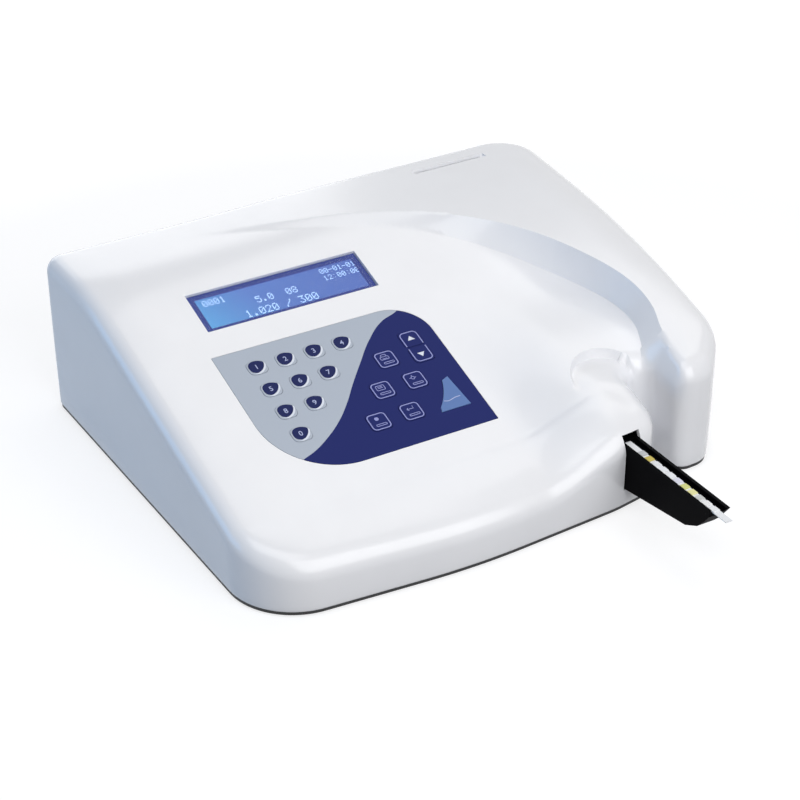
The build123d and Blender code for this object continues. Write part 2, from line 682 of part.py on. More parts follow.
# ---------------------------------------------------------------- electronics
def main_board():
    board = box(BOARD_X0, BOARD_X1, BOARD_Y0, BOARD_Y1, BOARD_Z + SEAT,
                BOARD_Z + SEAT + BOARD_THICK)
    for x, y in BOARD_SCREWS:
        board -= rod(1.1, x, y, BOARD_Z - 1, 5)
    return board


def board_parts():
    """Processor, memory, connectors and capacitors on the main board."""
    low = BOARD_Z + BOARD_THICK + 2 * SEAT
    sizes = [(70, -150, 28, 28, 2.5), (110, -150, 14, 20, 2), (110, -180, 14, 20, 2),
             (70, -190, 20, 12, 3), (150, -140, 8, 24, 8), (150, -175, 8, 24, 8),
             (185, -165, 9, 50, 9), (60, -218, 60, 7, 8), (150, -218, 40, 7, 8)]
    parts = [box(x - a / 2, x + a / 2, y - b / 2, y + b / 2, low, low + h).solid()
             for x, y, a, b, h in sizes]
    parts += [rod(5, 50 + 13 * i, -115, low, 12).solid() for i in range(4)]
    return Compound(parts)


def board_screws():
    screws = []
    for x, y in BOARD_SCREWS:
        low = BOARD_Z + BOARD_THICK + 2 * SEAT
        body = rod(2.2, x, y, low, 1.5) + rod(0.98, x, y, low - 6, 6)
        screws.append((body - box(x - 3, x + 3, y - 0.3, y + 0.3, low + 0.8, low + 2)).solid())
    return Compound(screws)


SUPPLY_X0, SUPPLY_X1 = 36.0, 116.0
SUPPLY_Y0, SUPPLY_Y1 = -92.0, -34.0
SUPPLY_HEIGHT = 38.0


def power_supply():
    """Mains supply in a vented metal box."""
    low = PLATE_TOP + SEAT
    case = box(SUPPLY_X0, SUPPLY_X1, SUPPLY_Y0, SUPPLY_Y1, low, low + SUPPLY_HEIGHT)
    for i in range(7):
        x = SUPPLY_X0 + 13 + 9 * i
        case -= box(x - 2, x + 2, SUPPLY_Y0 + 10, SUPPLY_Y1 - 10,
                    low + SUPPLY_HEIGHT - 2, low + SUPPLY_HEIGHT + 1)
    return case


# ---------------------------------------------------------------- rear sockets
SOCKET_Z = REAR_OPENING_Z + REAR_OPENING_HEIGHT / 2
PANEL_BACK = -WALL - SEAT
INLET_X = REAR_OPENING_X + 26.0
SWITCH_X = REAR_OPENING_X + 62.0
PORT_X = REAR_OPENING_X + 108.0
INLET_WIDTH, INLET_HEIGHT = 28.0, 21.0
SWITCH_WIDTH, SWITCH_HEIGHT = 15.0, 21.0
PORT_WIDTH, PORT_HEIGHT = 30.8, 12.5
PANEL_THICK = 2.0


def rear_panel():
    """Plate behind the opening in the rear wall, cut out for each socket."""
    panel = box(REAR_OPENING_X - 4, REAR_OPENING_X + REAR_OPENING_WIDTH + 4,
                PANEL_BACK - PANEL_THICK, PANEL_BACK,
                REAR_OPENING_Z - 4, REAR_OPENING_Z + REAR_OPENING_HEIGHT + 4)
    for x, width, height in ((INLET_X, INLET_WIDTH, INLET_HEIGHT),
                             (SWITCH_X, SWITCH_WIDTH, SWITCH_HEIGHT),
                             (PORT_X, PORT_WIDTH - 8, PORT_HEIGHT - 2)):
        panel -= box(x - width / 2 - SEAT, x + width / 2 + SEAT,
                     PANEL_BACK - PANEL_THICK - 1, PANEL_BACK + 1,
                     SOCKET_Z - height / 2 - SEAT, SOCKET_Z + height / 2 + SEAT)
    return panel


def power_inlet():
    """Mains inlet with three blades in its recess."""
    x0, x1 = INLET_X - INLET_WIDTH / 2, INLET_X + INLET_WIDTH / 2
    z0, z1 = SOCKET_Z - INLET_HEIGHT / 2, SOCKET_Z + INLET_HEIGHT / 2
    body = box(x0, x1, -24, PANEL_BACK + 0.5, z0, z1)
    body += box(x0 - 2, x1 + 2, PANEL_BACK + SEAT, PANEL_BACK + 2, z0 - 2, z1 + 2)
    body -= box(x0 + 2, x1 - 2, -20, 1, z0 + 2, z1 - 2)
    for dx, dz in ((-7, -1.5), (0, 2.0), (7, -1.5)):
        body += box(INLET_X + dx - 1, INLET_X + dx + 1, -20.5, -5.5,
                    SOCKET_Z + dz - 2, SOCKET_Z + dz + 2)
    return body


ROCKER_Y = PANEL_BACK + 0.4
ROCKER_R = 9.0
ROCKER_TILT = 8.0


def power_switch():
    """Housing of the rocker switch, with a trunnion hole on each side."""
    x0, x1 = SWITCH_X - SWITCH_WIDTH / 2, SWITCH_X + SWITCH_WIDTH / 2
    z0, z1 = SOCKET_Z - SWITCH_HEIGHT / 2, SOCKET_Z + SWITCH_HEIGHT / 2
    body = box(x0, x1, -20, PANEL_BACK + 0.5, z0, z1)
    body += box(x0 - 1.6, x1 + 1.6, PANEL_BACK + SEAT, PANEL_BACK + 2, z0 - 1.6, z1 + 1.6)
    body -= box(x0 + 1.6, x1 - 1.6, -14, 1, z0 + 1.4, z1 - 1.4)
    return body - rod(1.0 + RUNNING, x0 + 0.6, ROCKER_Y - 2, SOCKET_Z, SWITCH_WIDTH - 1.2, "X")


def power_rocker():
    """Curved rocker on two trunnions, shown pressed at its upper end."""
    half_x = SWITCH_WIDTH / 2 - 1.6 - SLIDING
    y = ROCKER_Y - 2
    half_z = ROCKER_R - 0.9
    profile = make_face(Curve() + [
        Line((-3.2, -3), (4.3, -half_z)),
        ThreePointArc((4.3, -half_z), (3.2, 0), (4.3, half_z)),
        Line((4.3, half_z), (-3.2, 3)),
        Line((-3.2, 3), (-3.2, -3)),
    ])
    upright = Plane(origin=(-half_x, 0, 0), x_dir=(0, 1, 0), z_dir=(1, 0, 0)) * profile
    rocker = extrude(upright, amount=2 * half_x)
    rocker += rod(1.0, -half_x - 1.0, 0, 0, 2 * half_x + 2.0, "X")
    return Pos(SWITCH_X, y, SOCKET_Z) * Rot(ROCKER_TILT, 0, 0) * rocker


def serial_port():
    """Nine-pin socket with its metal shell and two jack screws."""
    x0, x1 = PORT_X - PORT_WIDTH / 2, PORT_X + PORT_WIDTH / 2
    body = box(x0 + 4 + SEAT, x1 - 4 - SEAT, -14, PANEL_BACK + 3,
               SOCKET_Z - PORT_HEIGHT / 2 + 1 + SEAT, SOCKET_Z + PORT_HEIGHT / 2 - 1 - SEAT)
    body += box(x0, x1, PANEL_BACK + SEAT, PANEL_BACK + 0.9,
                SOCKET_Z - PORT_HEIGHT / 2, SOCKET_Z + PORT_HEIGHT / 2)
    body -= box(x0 + 6, x1 - 6, -6, 2, SOCKET_Z - 3.5, SOCKET_Z + 3.5)
    for i in range(5):
        body += rod(0.5, PORT_X - 5.5 + 2.75 * i, -6.5, SOCKET_Z + 1.4, 5, "Y")
    for i in range(4):
        body += rod(0.5, PORT_X - 4.1 + 2.75 * i, -6.5, SOCKET_Z - 1.4, 5, "Y")
    for side in (-1, 1):
        body += rod(2.2, PORT_X + side * (PORT_WIDTH / 2 - 2.6), PANEL_BACK + 0.5, SOCKET_Z,
                    2.2, "Y")
    return body


# ---------------------------------------------------------------- printer
PLATE_INNER = PAPER_WIDTH / 2 + 3.0
SIDE_PLATE = 2.5
ROLL_Y, ROLL_Z = -32.0, 54.0
PLATEN_Z = 98.0
PLATEN_Y = PRINTER_SLOT_Y - PLATEN_R - 0.5
GEAR_DISTANCE = GEAR_MODULE * (PLATEN_TEETH + MOTOR_TEETH) / 2 + MESH_GAP
GEAR_X = PRINTER_X + PLATE_INNER + SIDE_PLATE + 0.6
GEAR_WIDTH = 4.0
PRINT_MOTOR_R = 7.2
SPINDLE_R = 2.5
PLATEN_SHAFT_R = 1.5
PRINT_SHAFT_R = 1.0
FRAME_TOP = PLATEN_Z + 10.0


def printer_frame():
    """Two side plates joined by a bar behind the print head and a floor."""
    frame = None
    for side in (-1, 1):
        x0 = PRINTER_X + side * PLATE_INNER
        x1 = x0 + side * SIDE_PLATE
        plate = box(min(x0, x1), max(x0, x1), -56, -9, PLATE_TOP + SEAT, FRAME_TOP)
        frame = plate if frame is None else frame + plate
    x0, x1 = PRINTER_X - PLATE_INNER - 1, PRINTER_X + PLATE_INNER + 1
    bar_y = PRINTER_SLOT_Y + 3.5
    frame += box(x0, x1, bar_y, bar_y + 3, PLATEN_Z - 8, FRAME_TOP)
    frame += box(x0, x1, -56, -9, PLATE_TOP + SEAT, PLATE_TOP + 2.5)
    frame -= rod(SPINDLE_R + RUNNING, x0 - 10, ROLL_Y, ROLL_Z, 100, "X")
    frame -= rod(PLATEN_SHAFT_R + RUNNING, x0 - 10, PLATEN_Y, PLATEN_Z, 100, "X")
    frame -= rod(PRINT_SHAFT_R + 2, PRINTER_X, PLATEN_Y, PLATEN_Z - GEAR_DISTANCE, 60, "X")
    return frame


def print_head():
    y1 = PRINTER_SLOT_Y + 3.5 - SEAT
    head = box(PRINTER_X - PAPER_WIDTH / 2, PRINTER_X + PAPER_WIDTH / 2, y1 - 3, y1,
               PLATEN_Z - 6, PLATEN_Z + 7)
    return head + box(PRINTER_X - PAPER_WIDTH / 2, PRINTER_X + PAPER_WIDTH / 2, y1 - 3.3, y1,
                      PLATEN_Z - 1, PLATEN_Z + 1)


def platen_roller():
    half = PAPER_WIDTH / 2 + 1
    roller = rod(PLATEN_R, PRINTER_X - half, PLATEN_Y, PLATEN_Z, 2 * half, "X")
    start = PRINTER_X - PLATE_INNER - SIDE_PLATE
    return roller + rod(PLATEN_SHAFT_R, start, PLATEN_Y, PLATEN_Z,
                        GEAR_X + GEAR_WIDTH - start, "X")


def platen_gear():
    gear = spur_gear(GEAR_MODULE, PLATEN_TEETH, GEAR_WIDTH, PLATEN_SHAFT_R + SEAT, 0)
    return Pos(GEAR_X + GEAR_WIDTH / 2, PLATEN_Y, PLATEN_Z) * Rot(0, 90, 0) * gear


def printer_pinion():
    """Motor pinion in mesh with the platen's gear, on its own shaft."""
    gear = spur_gear(GEAR_MODULE, MOTOR_TEETH, GEAR_WIDTH, 0.2, 180 / MOTOR_TEETH)
    gear += Cylinder(PRINT_SHAFT_R, GEAR_WIDTH)
    z = PLATEN_Z - GEAR_DISTANCE
    piece = Pos(GEAR_X + GEAR_WIDTH / 2, PLATEN_Y, z) * Rot(0, 90, 0) * gear
    start = PRINTER_X + PLATE_INNER - 12
    return piece + rod(PRINT_SHAFT_R, start, PLATEN_Y, z, GEAR_X + 1 - start, "X")


def printer_motor():
    """Small motor on the inner face of the right side plate."""
    z = PLATEN_Z - GEAR_DISTANCE
    end = PRINTER_X + PLATE_INNER - SEAT
    can = rod(PRINT_MOTOR_R, end - 24, PLATEN_Y, z, 24, "X")
    return can - rod(PRINT_SHAFT_R + RUNNING, end - 13, PLATEN_Y, z, 20, "X")


def paper_roll():
    start = PRINTER_X - PAPER_WIDTH / 2
    roll = rod(ROLL_R, start, ROLL_Y, ROLL_Z, PAPER_WIDTH, "X")
    return roll - rod(CORE_R, start - 1, ROLL_Y, ROLL_Z, PAPER_WIDTH + 2, "X")


def paper_spindle():
    half = PAPER_WIDTH / 2 + 1
    core = rod(CORE_R - SEAT, PRINTER_X - half, ROLL_Y, ROLL_Z, 2 * half, "X")
    start = PRINTER_X - PLATE_INNER - SIDE_PLATE
    return core + rod(SPINDLE_R, start, ROLL_Y, ROLL_Z, 2 * (PRINTER_X - start), "X")


HINGE_Y = -DOOR_THICK / 2
HINGE_Z = DOOR_Z0 + DOOR_THICK / 2


def printer_door():
    """Rear paper door, round along its lower edge, with a finger scoop at the top."""
    door = box(DOOR_X0, DOOR_X1, -DOOR_THICK, 0, HINGE_Z, DOOR_Z1)
    door += rod(DOOR_THICK / 2, DOOR_X0, HINGE_Y, HINGE_Z, DOOR_WIDTH, "X")
    door -= rod(HINGE_R / 2 + RUNNING, DOOR_X0 - 1, HINGE_Y, HINGE_Z, DOOR_WIDTH + 2, "X")
    middle = (DOOR_X0 + DOOR_X1) / 2
    return door - Pos(middle, 7.6, DOOR_Z1 - 6) * Sphere(9)


def door_hinge_pin():
    return rod(HINGE_R / 2, DOOR_X0 - 1.8, HINGE_Y, HINGE_Z, DOOR_WIDTH + 3.6, "X")


def paper_tear_bar():
    """Saw-toothed strip along the front edge of the paper slot."""
    x0, x1 = PRINTER_X - SLOT_LENGTH / 2 + 1, PRINTER_X + SLOT_LENGTH / 2 - 1
    y0 = PRINTER_SLOT_Y - SLOT_GAP / 2 + SEAT
    z1 = wing_height(PRINTER_X, y0) - 0.8
    bar = box(x0, x1, y0, y0 + 0.8, z1 - 6, z1)
    for i in range(int((x1 - x0) / 2)):
        bar -= Pos(x0 + 1 + 2 * i, y0 + 0.4, z1) * Rot(0, 45, 0) * Box(1.0, 3, 1.0)
    return bar


# ---------------------------------------------------------------- assembly
def collect():
    pieces["top_cover"] = top_cover()
    for make in (base_plate, rubber_feet, cover_screws, display_window, display_glass,
                 display_board, keypad_overlay, keypad_membrane, strip_tray, test_strip,
                 strip_pads, tray_rack, tray_guide, tray_motor, motor_shaft, drive_pinion,
                 motor_bracket, optical_head, head_lens, head_bracket, home_sensor,
                 main_board, board_parts, board_screws, power_supply, rear_panel, power_inlet,
                 power_switch, power_rocker, serial_port, printer_frame, print_head,
                 platen_roller, platen_gear, printer_motor, printer_pinion, paper_roll,
                 paper_spindle, printer_door, door_hinge_pin, paper_tear_bar):
        pieces[make.__name__] = make()
    for name in KEYS:
        pieces[name] = key(name)


def main():
    # faces are left as they are cut, because joining the curved walls again spoils them
    with SkipClean():
        collect()
    boxes = [piece.bounding_box() for piece in pieces.values()]
    middle_x = (min(b.min.X for b in boxes) + max(b.max.X for b in boxes)) / 2
    middle_y = (min(b.min.Y for b in boxes) + max(b.max.Y for b in boxes)) / 2
    low = min(b.min.Z for b in boxes)
    print("shift", -middle_x, -middle_y, -low)
    os.makedirs("parts", exist_ok=True)
    for name, piece in pieces.items():
        solids = [Pos(-middle_x, -middle_y, -low) * solid for solid in piece.solids()]
        shape = solids[0] if len(solids) == 1 else Compound(solids)
        export_step(shape, os.path.join("parts", name + ".step"))


main()
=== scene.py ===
# %% [markdown]
# # A bench-top urine strip analyzer
# The white casing is one smooth moulding: a flat deck, a sloped panel, a raised wing and a
# rounded nose with the strip slot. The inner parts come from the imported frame. This file
# gives every visible surface its finish and models the casing, the screen and the printed
# marks. It starts with the frame and with the size of the whole.

# %% Load the frame
import bpy
import bmesh
import math
import numpy as np
from mathutils import Matrix, Vector
from mathutils.geometry import delaunay_2d_cdt


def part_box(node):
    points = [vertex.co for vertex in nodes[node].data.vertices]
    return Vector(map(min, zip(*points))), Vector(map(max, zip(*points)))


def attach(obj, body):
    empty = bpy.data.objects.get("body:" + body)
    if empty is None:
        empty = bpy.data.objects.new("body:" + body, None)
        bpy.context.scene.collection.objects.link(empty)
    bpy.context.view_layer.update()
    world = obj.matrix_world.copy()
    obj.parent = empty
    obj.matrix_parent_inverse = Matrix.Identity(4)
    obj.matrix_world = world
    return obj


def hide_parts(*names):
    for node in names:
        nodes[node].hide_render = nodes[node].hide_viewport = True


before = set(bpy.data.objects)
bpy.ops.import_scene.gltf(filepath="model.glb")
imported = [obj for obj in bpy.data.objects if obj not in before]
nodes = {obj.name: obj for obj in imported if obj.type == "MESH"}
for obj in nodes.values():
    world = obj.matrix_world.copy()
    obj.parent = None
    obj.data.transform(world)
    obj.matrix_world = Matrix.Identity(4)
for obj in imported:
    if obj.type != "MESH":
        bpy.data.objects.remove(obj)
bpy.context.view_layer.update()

MM = 0.001
PANEL_SET_IN = 2.82             # rear panel to the outer face of the rear wall
HOME_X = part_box("top_cover")[0][0] / MM
HOME_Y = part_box("rear_panel")[1][1] / MM + PANEL_SET_IN


def home(x, y, z=0.0):
    """A place counted in millimetres from the casing's rear left corner, in the frame."""
    return Vector(((x + HOME_X) * MM, (y + HOME_Y) * MM, z * MM))


# %% [markdown]
# The camera comes first. It looks from the front left, 30.7 degrees down, through a long lens, so
# that the verticals stay nearly parallel. The place is written in millimetres from the rear left
# corner of the casing.

# %% Camera
CAMERA_PLACE = (-483.3, -1323.3, 825.0)
CAMERA_TURN = math.radians(30.145)
CAMERA_DOWN = math.radians(30.741)
CAMERA_ROLL = math.radians(0.4)
LENS = 101.65

camera_data = bpy.data.cameras.new("camera")
camera_data.lens = LENS
camera_data.sensor_width = 36.0
camera = bpy.data.objects.new("camera", camera_data)
bpy.context.collection.objects.link(camera)
camera.matrix_world = (
    Matrix.Translation(home(*CAMERA_PLACE))
    @ Matrix.Rotation(-CAMERA_TURN, 4, "Z")
    @ Matrix.Rotation(math.pi / 2 - CAMERA_DOWN, 4, "X")
    @ Matrix.Rotation(-CAMERA_ROLL, 4, "Z"))
bpy.context.scene.camera = camera
bpy.context.scene.view_settings.view_transform = "Standard"

# %% [markdown]
# Shader graphs are written like sums here. One small class makes a shader value behave
# like a number, and a second holds a material and adds any node to it.

# %% Shader helper
class Socket:
    """A shader value that can be added, multiplied and compared like a number."""

    def __init__(self, tree, socket):
        self.tree = tree
        self.socket = socket

    def maths(self, operation, *others):
        node = self.tree.nodes.new("ShaderNodeMath")
        node.operation = operation
        for slot, value in zip(node.inputs, (self, *others)):
            wire(self.tree, slot, value)
        return Socket(self.tree, node.outputs[0])

    def __add__(self, other):
        return self.maths("ADD", other)

    def __sub__(self, other):
        return self.maths("SUBTRACT", other)

    def __rsub__(self, other):
        return self * -1.0 + other

    def __mul__(self, other):
        return self.maths("MULTIPLY", other)

    def __truediv__(self, other):
        return self.maths("DIVIDE", other)

    def __gt__(self, other):
        return self.maths("GREATER_THAN", other)

    __radd__ = __add__
    __rmul__ = __mul__


def wire(tree, slot, value):
    """Gives a socket a link or a plain value."""
    if isinstance(value, Socket):
        tree.links.new(value.socket, slot)
    elif value is not None:
        slot.default_value = value


class Finish:
    """One material, with a short way to add any node."""

    def __init__(self, name, color, roughness, **sockets):
        self.material = bpy.data.materials.new(name)
        self.material.use_nodes = True
        self.tree = self.material.node_tree
        self.surface = self.tree.nodes["Principled BSDF"]
        self.set("Base Color", (*color, 1.0) if len(color) == 3 else color)
        self.set("Roughness", roughness)
        for name_, value in sockets.items():
            self.set(name_.replace("_", " "), value)

    def set(self, name, value):
        wire(self.tree, self.surface.inputs[name], value)

    def node(self, kind, output=0, settings=None, **inputs):
        made = self.tree.nodes.new(kind)
        for key, value in (settings or {}).items():
            setattr(made, key, value)
        for key, value in inputs.items():
            slot = made.inputs[int(key[1:])] if key[1:].isdigit() else made.inputs[key]
            wire(self.tree, slot, value)
        return Socket(self.tree, made.outputs[output])

    def place(self):
        """Object coordinates, which are metres in the frame."""
        return self.node("ShaderNodeTexCoord", "Object")

    def axis(self, name):
        return self.node("ShaderNodeSeparateXYZ", "XYZ".index(name), i0=self.place())

    def noise(self, scale, detail=2.0):
        return self.node("ShaderNodeTexNoise", "Fac", Vector=self.place(), Scale=scale,
                         Detail=detail)

    def mix(self, factor, first, second):
        """A colour between two colours."""
        made = self.tree.nodes.new("ShaderNodeMix")
        made.data_type = "RGBA"
        wire(self.tree, made.inputs["Factor"], factor)
        wire(self.tree, made.inputs[6], first)
        wire(self.tree, made.inputs[7], second)
        return Socket(self.tree, made.outputs[2])

    def bump(self, height, strength, distance):
        self.set("Normal", self.node("ShaderNodeBump", "Normal", Height=height,
                                     Strength=strength, Distance=distance))


def rgb(red, green, blue):
    """A colour written as it looks on screen, 0 to 255, in the linear values of a shader."""
    return tuple(((c / 255 + 0.055) / 1.055) ** 2.4 if c > 10 else c / 255 / 12.92
                 for c in (red, green, blue))


# %% [markdown]
# Moulded plastic is never a single flat colour. Its gloss varies a little where hands have
# touched it, and its skin has a very fine orange-peel ripple. One function makes each
# plastic from a colour, a roughness and the size of that ripple.

# %% Plastics, metals and films
def plastic(name, color, roughness, ripple=0.0, grain=900.0, wear=0.06, **sockets):
    """Moulded plastic: slightly uneven gloss and a fine skin."""
    finish = Finish(name, color, roughness, **sockets)
    cloud = finish.noise(28.0, 3.0)
    finish.set("Roughness", cloud * wear + (roughness - wear / 2))
    darker = tuple(c * 0.94 for c in color)
    finish.set("Base Color", finish.mix(cloud, (*color, 1.0), (*darker, 1.0)))
    if ripple:
        finish.bump(finish.noise(grain, 1.0), ripple, 0.0004)
    return finish.material


def metal(name, color, roughness, scale=(40.0, 900.0, 900.0)):
    """Metal with fine marks along its length."""
    finish = Finish(name, color, roughness, Metallic=1.0)
    stretched = finish.node("ShaderNodeMapping", 0, Vector=finish.place(), Scale=scale)
    marks = finish.node("ShaderNodeTexNoise", "Fac", Vector=stretched, Scale=1.0, Detail=3.0)
    finish.set("Roughness", marks * 0.25 + (roughness - 0.12))
    finish.bump(marks, 0.08, 0.0002)
    return finish.material


WHITE = rgb(238, 239, 243)
white_plastic = plastic("white_gloss_plastic", WHITE, 0.24, 0.03, 700.0, 0.05,
                        Coat_Weight=0.25, Coat_Roughness=0.12)
black_base = plastic("black_base_plastic", rgb(30, 30, 32), 0.55, 0.35, 1500.0)
tray_black = plastic("black_tray_plastic", rgb(4, 4, 6), 0.5, 0.1, 1600.0,
                     Specular_IOR_Level=0.02)
black_part = plastic("black_part_plastic", rgb(22, 22, 24), 0.30, 0.08, 1200.0)
grey_part = plastic("grey_part_plastic", rgb(118, 121, 126), 0.45, 0.2, 1200.0)
nylon = plastic("nylon", rgb(226, 223, 210), 0.42, 0.05)
rubber = plastic("black_rubber", rgb(26, 26, 27), 0.78, 0.4, 1400.0)
steel = metal("steel", rgb(176, 178, 181), 0.34)
motor_metal = metal("zinc_plate", rgb(140, 142, 146), 0.42)
brass = metal("brass", rgb(206, 172, 98), 0.32)
paper = plastic("thermal_paper", rgb(240, 240, 236), 0.8, 0.25, 2600.0)
circuit = plastic("green_circuit_board", rgb(20, 92, 54), 0.36, 0.12, 500.0)
chip = plastic("chip_plastic", rgb(30, 30, 31), 0.5, 0.1)


# %% [markdown]
# The casing's plan is a chain of arcs: a tight rear left corner, a wide front left corner, a
# gently bowed front, the nose, a hollow beside it, and the wing. Rounded corners of a
# polygon give all of these, with a few points. The ring is sampled every few millimetres.

# %% Plan of the casing
CASE_WIDTH, CASE_DEPTH = 388.0, 330.0
NOSE_X, NOSE_Y = 274.0, -292.0
NOSE_RIGHT, WING_LEFT, VALLEY_Y = 300.5, 323.0, -268.0
PLAN = [((0, 0), 12), ((388.2, 0), 32), ((380, -150), 400), ((374, -276), 42),
        ((348, -305.5), 20), ((WING_LEFT - 1, -307), 11.5), ((WING_LEFT, VALLEY_Y), 11),
        ((NOSE_RIGHT, VALLEY_Y), 11),
        ((NOSE_RIGHT, -317), 22), ((262, -324), 120), ((150, -332), 500), ((0, -320), 48)]
RING_STEP = 1.8


def rounded_ring(corners, step):
    """Points along a polygon with rounded corners, as an array of x and y."""
    points = []
    count = len(corners)
    for i, (corner, radius) in enumerate(corners):
        here = np.array(corner, float)
        back = np.array(corners[i - 1][0], float) - here
        ahead = np.array(corners[(i + 1) % count][0], float) - here
        back /= np.linalg.norm(back)
        ahead /= np.linalg.norm(ahead)
        half = math.acos(max(-1, min(1, back @ ahead))) / 2
        reach = radius / math.tan(half)
        middle = here + (back + ahead) / np.linalg.norm(back + ahead) * radius / math.sin(half)
        first = here + back * reach - middle
        last = here + ahead * reach - middle
        turn = math.atan2(first[0] * last[1] - first[1] * last[0], first @ last)
        parts = max(2, math.ceil(abs(turn) * radius / step))
        for k in range(parts + 1):
            a = turn * k / parts
            spun = (first[0] * math.cos(a) - first[1] * math.sin(a),
                    first[0] * math.sin(a) + first[1] * math.cos(a))
            points.append(middle + spun)
    ring = []
    for i, point in enumerate(points):
        following = points[(i + 1) % len(points)]
        parts = max(1, round(np.linalg.norm(following - point) / step))
        ring += [point + (following - point) * k / parts for k in range(parts)]
    return np.array(ring)


def outward(ring):
    """Unit vectors that point out of a clockwise ring."""
    along = np.roll(ring, -1, axis=0) - np.roll(ring, 1, axis=0)
    along /= np.linalg.norm(along, axis=1)[:, None]
    return np.stack([-along[:, 1], along[:, 0]], axis=1)


def inside(points, ring):
    """True for each point that lies inside a closed ring."""
    x, y = points[:, 0][:, None], points[:, 1][:, None]
    x0, y0 = ring[:, 0], ring[:, 1]
    x1, y1 = np.roll(x0, -1), np.roll(y0, -1)
    cross = ((y0 > y) != (y1 > y)) & (x < (x1 - x0) * (y - y0) / (y1 - y0 + 1e-12) + x0)
    return cross.sum(axis=1) % 2 == 1


def distance(points, line, closed=True):
    """Distance from each point to a line of short pieces."""
    ends = np.roll(line, -1, axis=0) if closed else line[1:]
    starts = line if closed else line[:-1]
    best = np.full(len(points), 1e9)
    for block in range(0, len(starts), 64):
        a, b = starts[block:block + 64], ends[block:block + 64]
        ab = b - a
        t = ((points[:, None] - a) * ab).sum(2) / ((ab * ab).sum(1) + 1e-12)
        near = a + np.clip(t, 0, 1)[..., None] * ab
        best = np.minimum(best, np.linalg.norm(points[:, None] - near, axis=2).min(axis=1))
    return best


ring = rounded_ring(PLAN, RING_STEP)
normals = outward(ring)
print("plan ring", len(ring), "points")


# %% [markdown]
# The top is one height formula: a flat deck that bends softly into the panel, a swelling
# around the nose, and the raised wing. The wing starts at a sweeping line, and the
# steep band below it ends at a second line. Both lines are smooth curves through a few
# points. A soft roll at the rim turns the top into the walls.

# %% Height of the top
DECK, PANEL_HEIGHT, SLOPE = 120.0, 143.4, 0.321
BEND_Y = (DECK - PANEL_HEIGHT) / SLOPE     # where deck and panel would meet
BEND_HALF = 28.0
MOUND_RISE, MOUND_X, MOUND_Y = 18.0, (205, 275), (150, 270)
BELT_START, BELT_SPAN = 283, 36
WING_FALL, WING_BEND, WING_LIMIT = 6.6e-4, 60, 121.9
SHOULDER = 34       # how far the soft shoulder reaches in from the rim
ROLL = 11.0
SWEEP_TOP = [(90, -28), (120, -35), (148, -42), (176, -50), (210, -60), (236, -72),
             (264, -90), (291, -116), (313, -147), (329, -181), (338, -207), (341, -228),
             (339, -248), (333, -266), (327, -290), (324, -345)]
SWEEP_FOOT = [(90, -30), (120, -40), (148, -49), (176, -59), (206, -70.5), (230, -83.5),
              (256, -99), (281, -120), (304, -146), (321, -172), (331, -197), (334, -218),
              (332, -238), (325, -256), (317, -276), (312, -345)]


def smooth_step(value, start, end):
    t = np.clip((value - start) / (end - start), 0, 1)
    return t * t * (3 - 2 * t)


def smooth_line(points, parts=6):
    """A Catmull-Rom curve through the points."""
    pts = np.array(points, float)
    pts = np.vstack([2 * pts[0] - pts[1], pts, 2 * pts[-1] - pts[-2]])
    out = []
    for i in range(1, len(pts) - 2):
        p0, p1, p2, p3 = pts[i - 1:i + 3]
        for k in range(parts):
            t = k / parts
            out.append(0.5 * (2 * p1 + (p2 - p0) * t + (2 * p0 - 5 * p1 + 4 * p2 - p3) * t ** 2
                              + (3 * p1 - p0 - 3 * p2 + p3) * t ** 3))
    return np.array(out + [pts[-2]])


sweep_top = smooth_line(SWEEP_TOP)
sweep_foot = smooth_line(SWEEP_FOOT)
FAR = 420.0
wing_zone = np.vstack([sweep_top, [(FAR, -345), (FAR, 30), (90, 30)]])
foot_zone = np.vstack([sweep_foot, [(FAR, -345), (FAR, 30), (90, 30)]])


def panel_height(x, y):
    """Deck and panel with a soft bend, a swelling at the nose and a soft belt in front."""
    past = np.clip(BEND_Y + BEND_HALF - y, 0, 2 * BEND_HALF)
    base = np.minimum(DECK - SLOPE / (4 * BEND_HALF) * past ** 2, PANEL_HEIGHT + SLOPE * y)
    base = np.where(y > BEND_Y - BEND_HALF, DECK - SLOPE / (4 * BEND_HALF) * past ** 2, base)
    mound = MOUND_RISE * smooth_step(x, *MOUND_X) * smooth_step(-y, *MOUND_Y)
    belt = np.clip((-y - BELT_START) / BELT_SPAN, 0, 1)
    swell = (0.8 + 1.6 * smooth_step(x, 60, 240)) * (1 - smooth_step(x, 262, 290))
    return base + mound + swell * np.sin(math.pi * belt ** 0.8)


def wing_height(x, y):
    rise = 1.9 * smooth_step(x, 90, 200)
    fall = WING_FALL * np.clip(-y - WING_BEND, 0, None) ** 2
    return np.minimum(DECK + rise - fall, WING_LIMIT)


DISH_X, DISH_Y, DISH_R = NOSE_X + 13, NOSE_Y + 17, 27.0
DISH_WALL = 1.6


def dish_depth(x, y):
    """The round recess on the nose: deep at the rear right, level with the nose in front."""
    dx, dy = x - DISH_X, y - DISH_Y
    far = np.hypot(dx, dy)
    toward = (0.35 * dx + 0.94 * dy) / DISH_R
    depth = 2.3 + 4.7 * toward
    floor = 1.5 * (1 - (far / DISH_R) ** 2)
    edge = np.clip((DISH_R - far) / DISH_WALL, 0, 1)
    return np.where(far < DISH_R, np.clip(depth - floor, 0, None) * edge, 0.0)


SLOT_LEFT, SLOT_RIGHT, SLOT_FRONT, SLOT_REAR = 283.0, 345.0, -27.0, -21.4
SLOT_SINK, SLOT_EDGE = 1.7, 0.5


